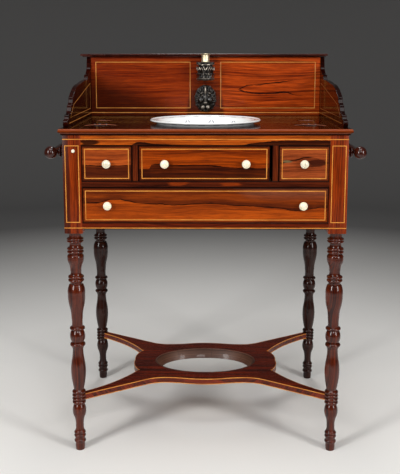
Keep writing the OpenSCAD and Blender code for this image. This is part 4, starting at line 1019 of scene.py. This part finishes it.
def lining_wood(name, middle):
    """Pale grey brown wood round an oval, its lengths meeting in thin upright joints."""
    wood = Finish(name, {"Specular IOR Level": 0.4, "Coat Weight": 0.15})
    axes = wood.place(middle)
    round_way = axes["X"].maths("ARCTAN2", axes["Y"] / OVAL_D, axes["X"] / OVAL_W)
    growth = wood.bands(axes["Z"] / 3.5 + round_way.wave() * 0.4, detail=3)
    pores = wood.noise(round_way * 12, axes["Z"] / 0.8, detail=3)
    lengths = wood.noise(round_way * 1.6, 0.5, detail=0)
    colour = wood.mix(((growth - 0.5) * 2 + lengths).held(), paint(44, 23, 16), paint(122, 84, 66))
    joint = (1 - abs((round_way * 4 + 0.6).wave()) * 34).held()
    colour = wood.mix(joint * 0.8, colour, paint(40, 22, 14))
    colour = wood.mix((pores - 0.45).held() * 1.5, colour, paint(70, 46, 34))
    return wood.done(colour, 0.34 + pores * 0.2, pores, 0.05)


# The ring is spun round, then drawn out to the oval. Its section is given as the distance
# outside the opening's upper edge, and the height above the shelf
LINING = [(0, 0), (4, 0), (4, -16), (-6, -16), (-11, -24), (-15, -24), (0, 0)]
ROUND = 1000
bm = bmesh.new()
turned(bm, [(ROUND + out, up) for out, up in LINING], 96)
for vert in bm.verts:
    angle = atan2(vert.co.y, vert.co.x)
    out = vert.co.xy.length / MM - ROUND
    vert.co.x = (OVAL_W / 2 + out) * cos(angle) * MM
    vert.co.y = (OVAL_D / 2 + out) * sin(angle) * MM
bmesh.ops.remove_doubles(bm, verts=bm.verts, dist=1e-6)
ease_arrises(bm, 0.6, 25)
ring_middle = Vector((0, shelf_middle, high.z))
put(bm, bm.verts, ring_middle)
piece("stretcher_lining_ring", bm, lining_wood("lining_wood", ring_middle), "stand",
      "stretcher_lining")

# ---------- Studio ----------
# A pale floor that curves up into a wall all round, painted darker away from the stand as a
# painted pool of light. Tall soft boxes stand to the left and right of the camera, and smaller
# ones shine from above it, from overhead and from behind.

FLOOR_R, CURVE_R, WALL_H = 3500, 1500, 4500
# Where the floor, painted as a pool of light round the stand, starts to grow darker, and over how
# long
FADE_START, FADE_LENGTH = 950, 1900
bm = bmesh.new()
section = path([(0, 0, 0), (FLOOR_R, 0, -CURVE_R * (1 - cos(pi / 4))),
                (FLOOR_R + CURVE_R, CURVE_R, 0), (FLOOR_R + CURVE_R, WALL_H, 0)], steps=24)
turned(bm, section, 96)
floor_mesh = bpy.data.meshes.new("studio_floor")
bm.to_mesh(floor_mesh)
bm.free()
floor_mesh.shade_smooth()
floor = shown("studio_floor", floor_mesh)
floor_finish = Finish("pale_floor", {"Specular IOR Level": 0.1})
axes = floor_finish.place()
cloud = floor_finish.noise(axes["X"] / 900, axes["Y"] / 900)
reach = (axes["X"] * axes["X"] + axes["Y"] * axes["Y"]) ** 0.5
pale = floor_finish.mix(cloud, paint(236, 234, 230), paint(242, 240, 236))
# A painted pool of light: the floor is paler round the stand and darker further off
away = reach.above(FADE_START, 1 / FADE_LENGTH)
floor_finish.link("Base Color", floor_finish.mix(away, pale, paint(112, 111, 110)))
floor_finish.link("Roughness", 0.8 + cloud * 0.1)
floor_mesh.materials.append(floor_finish.material)

# Each lamp's place, what it shines at, its width and height, and its power in watts
LAMPS = {
    "soft_left": ((-2.0, -2.4, 1.7), (0, 0, 0.6), (0.6, 1.9), 58),
    "soft_right": ((2.2, -2.2, 1.5), (0, 0, 0.6), (0.6, 1.9), 50),
    "soft_front": ((0.35, -2.7, 2.1), (0, 0, 0.8), (0.7, 0.4), 12),
    "soft_above": ((0, -0.8, 3.0), (0, 0, 0.8), (2.0, 1.6), 34),
    "soft_behind": ((0, 1.9, 3.3), (0, 0.3, 0.5), (0.6, 1.2), 20),
}
for name, (place, aim, size, power) in LAMPS.items():
    lamp = bpy.data.lights.new(name, "AREA")
    lamp.shape = "RECTANGLE"
    lamp.size, lamp.size_y = size
    lamp.energy = power
    made = shown(name, lamp)
    made.location = place
    made.rotation_euler = (Vector(aim) - Vector(place)).to_track_quat("-Z", "Y").to_euler()
world = bpy.data.worlds.new("studio_air")
world.use_nodes = True
air = world.node_tree.nodes["Background"].inputs
air["Color"].default_value = (0.9, 0.92, 0.95, 1)
air["Strength"].default_value = 0.08
bpy.context.scene.world = world
bpy.context.scene.view_settings.view_transform = "Standard"

# The camera stands and looks as the one of the photograph did
LOOK_DOWN, LOOK_ASIDE = 0.1669, 0.00654
camera = shown("camera", bpy.data.cameras.new("camera"))
camera.location = (0.00016, -2.30255, 1.0161)
camera.rotation_euler = (pi / 2 - LOOK_DOWN, 0, LOOK_ASIDE)
camera.data.lens = 63.24
camera.data.shift_y = -0.0823
bpy.context.scene.camera = camera
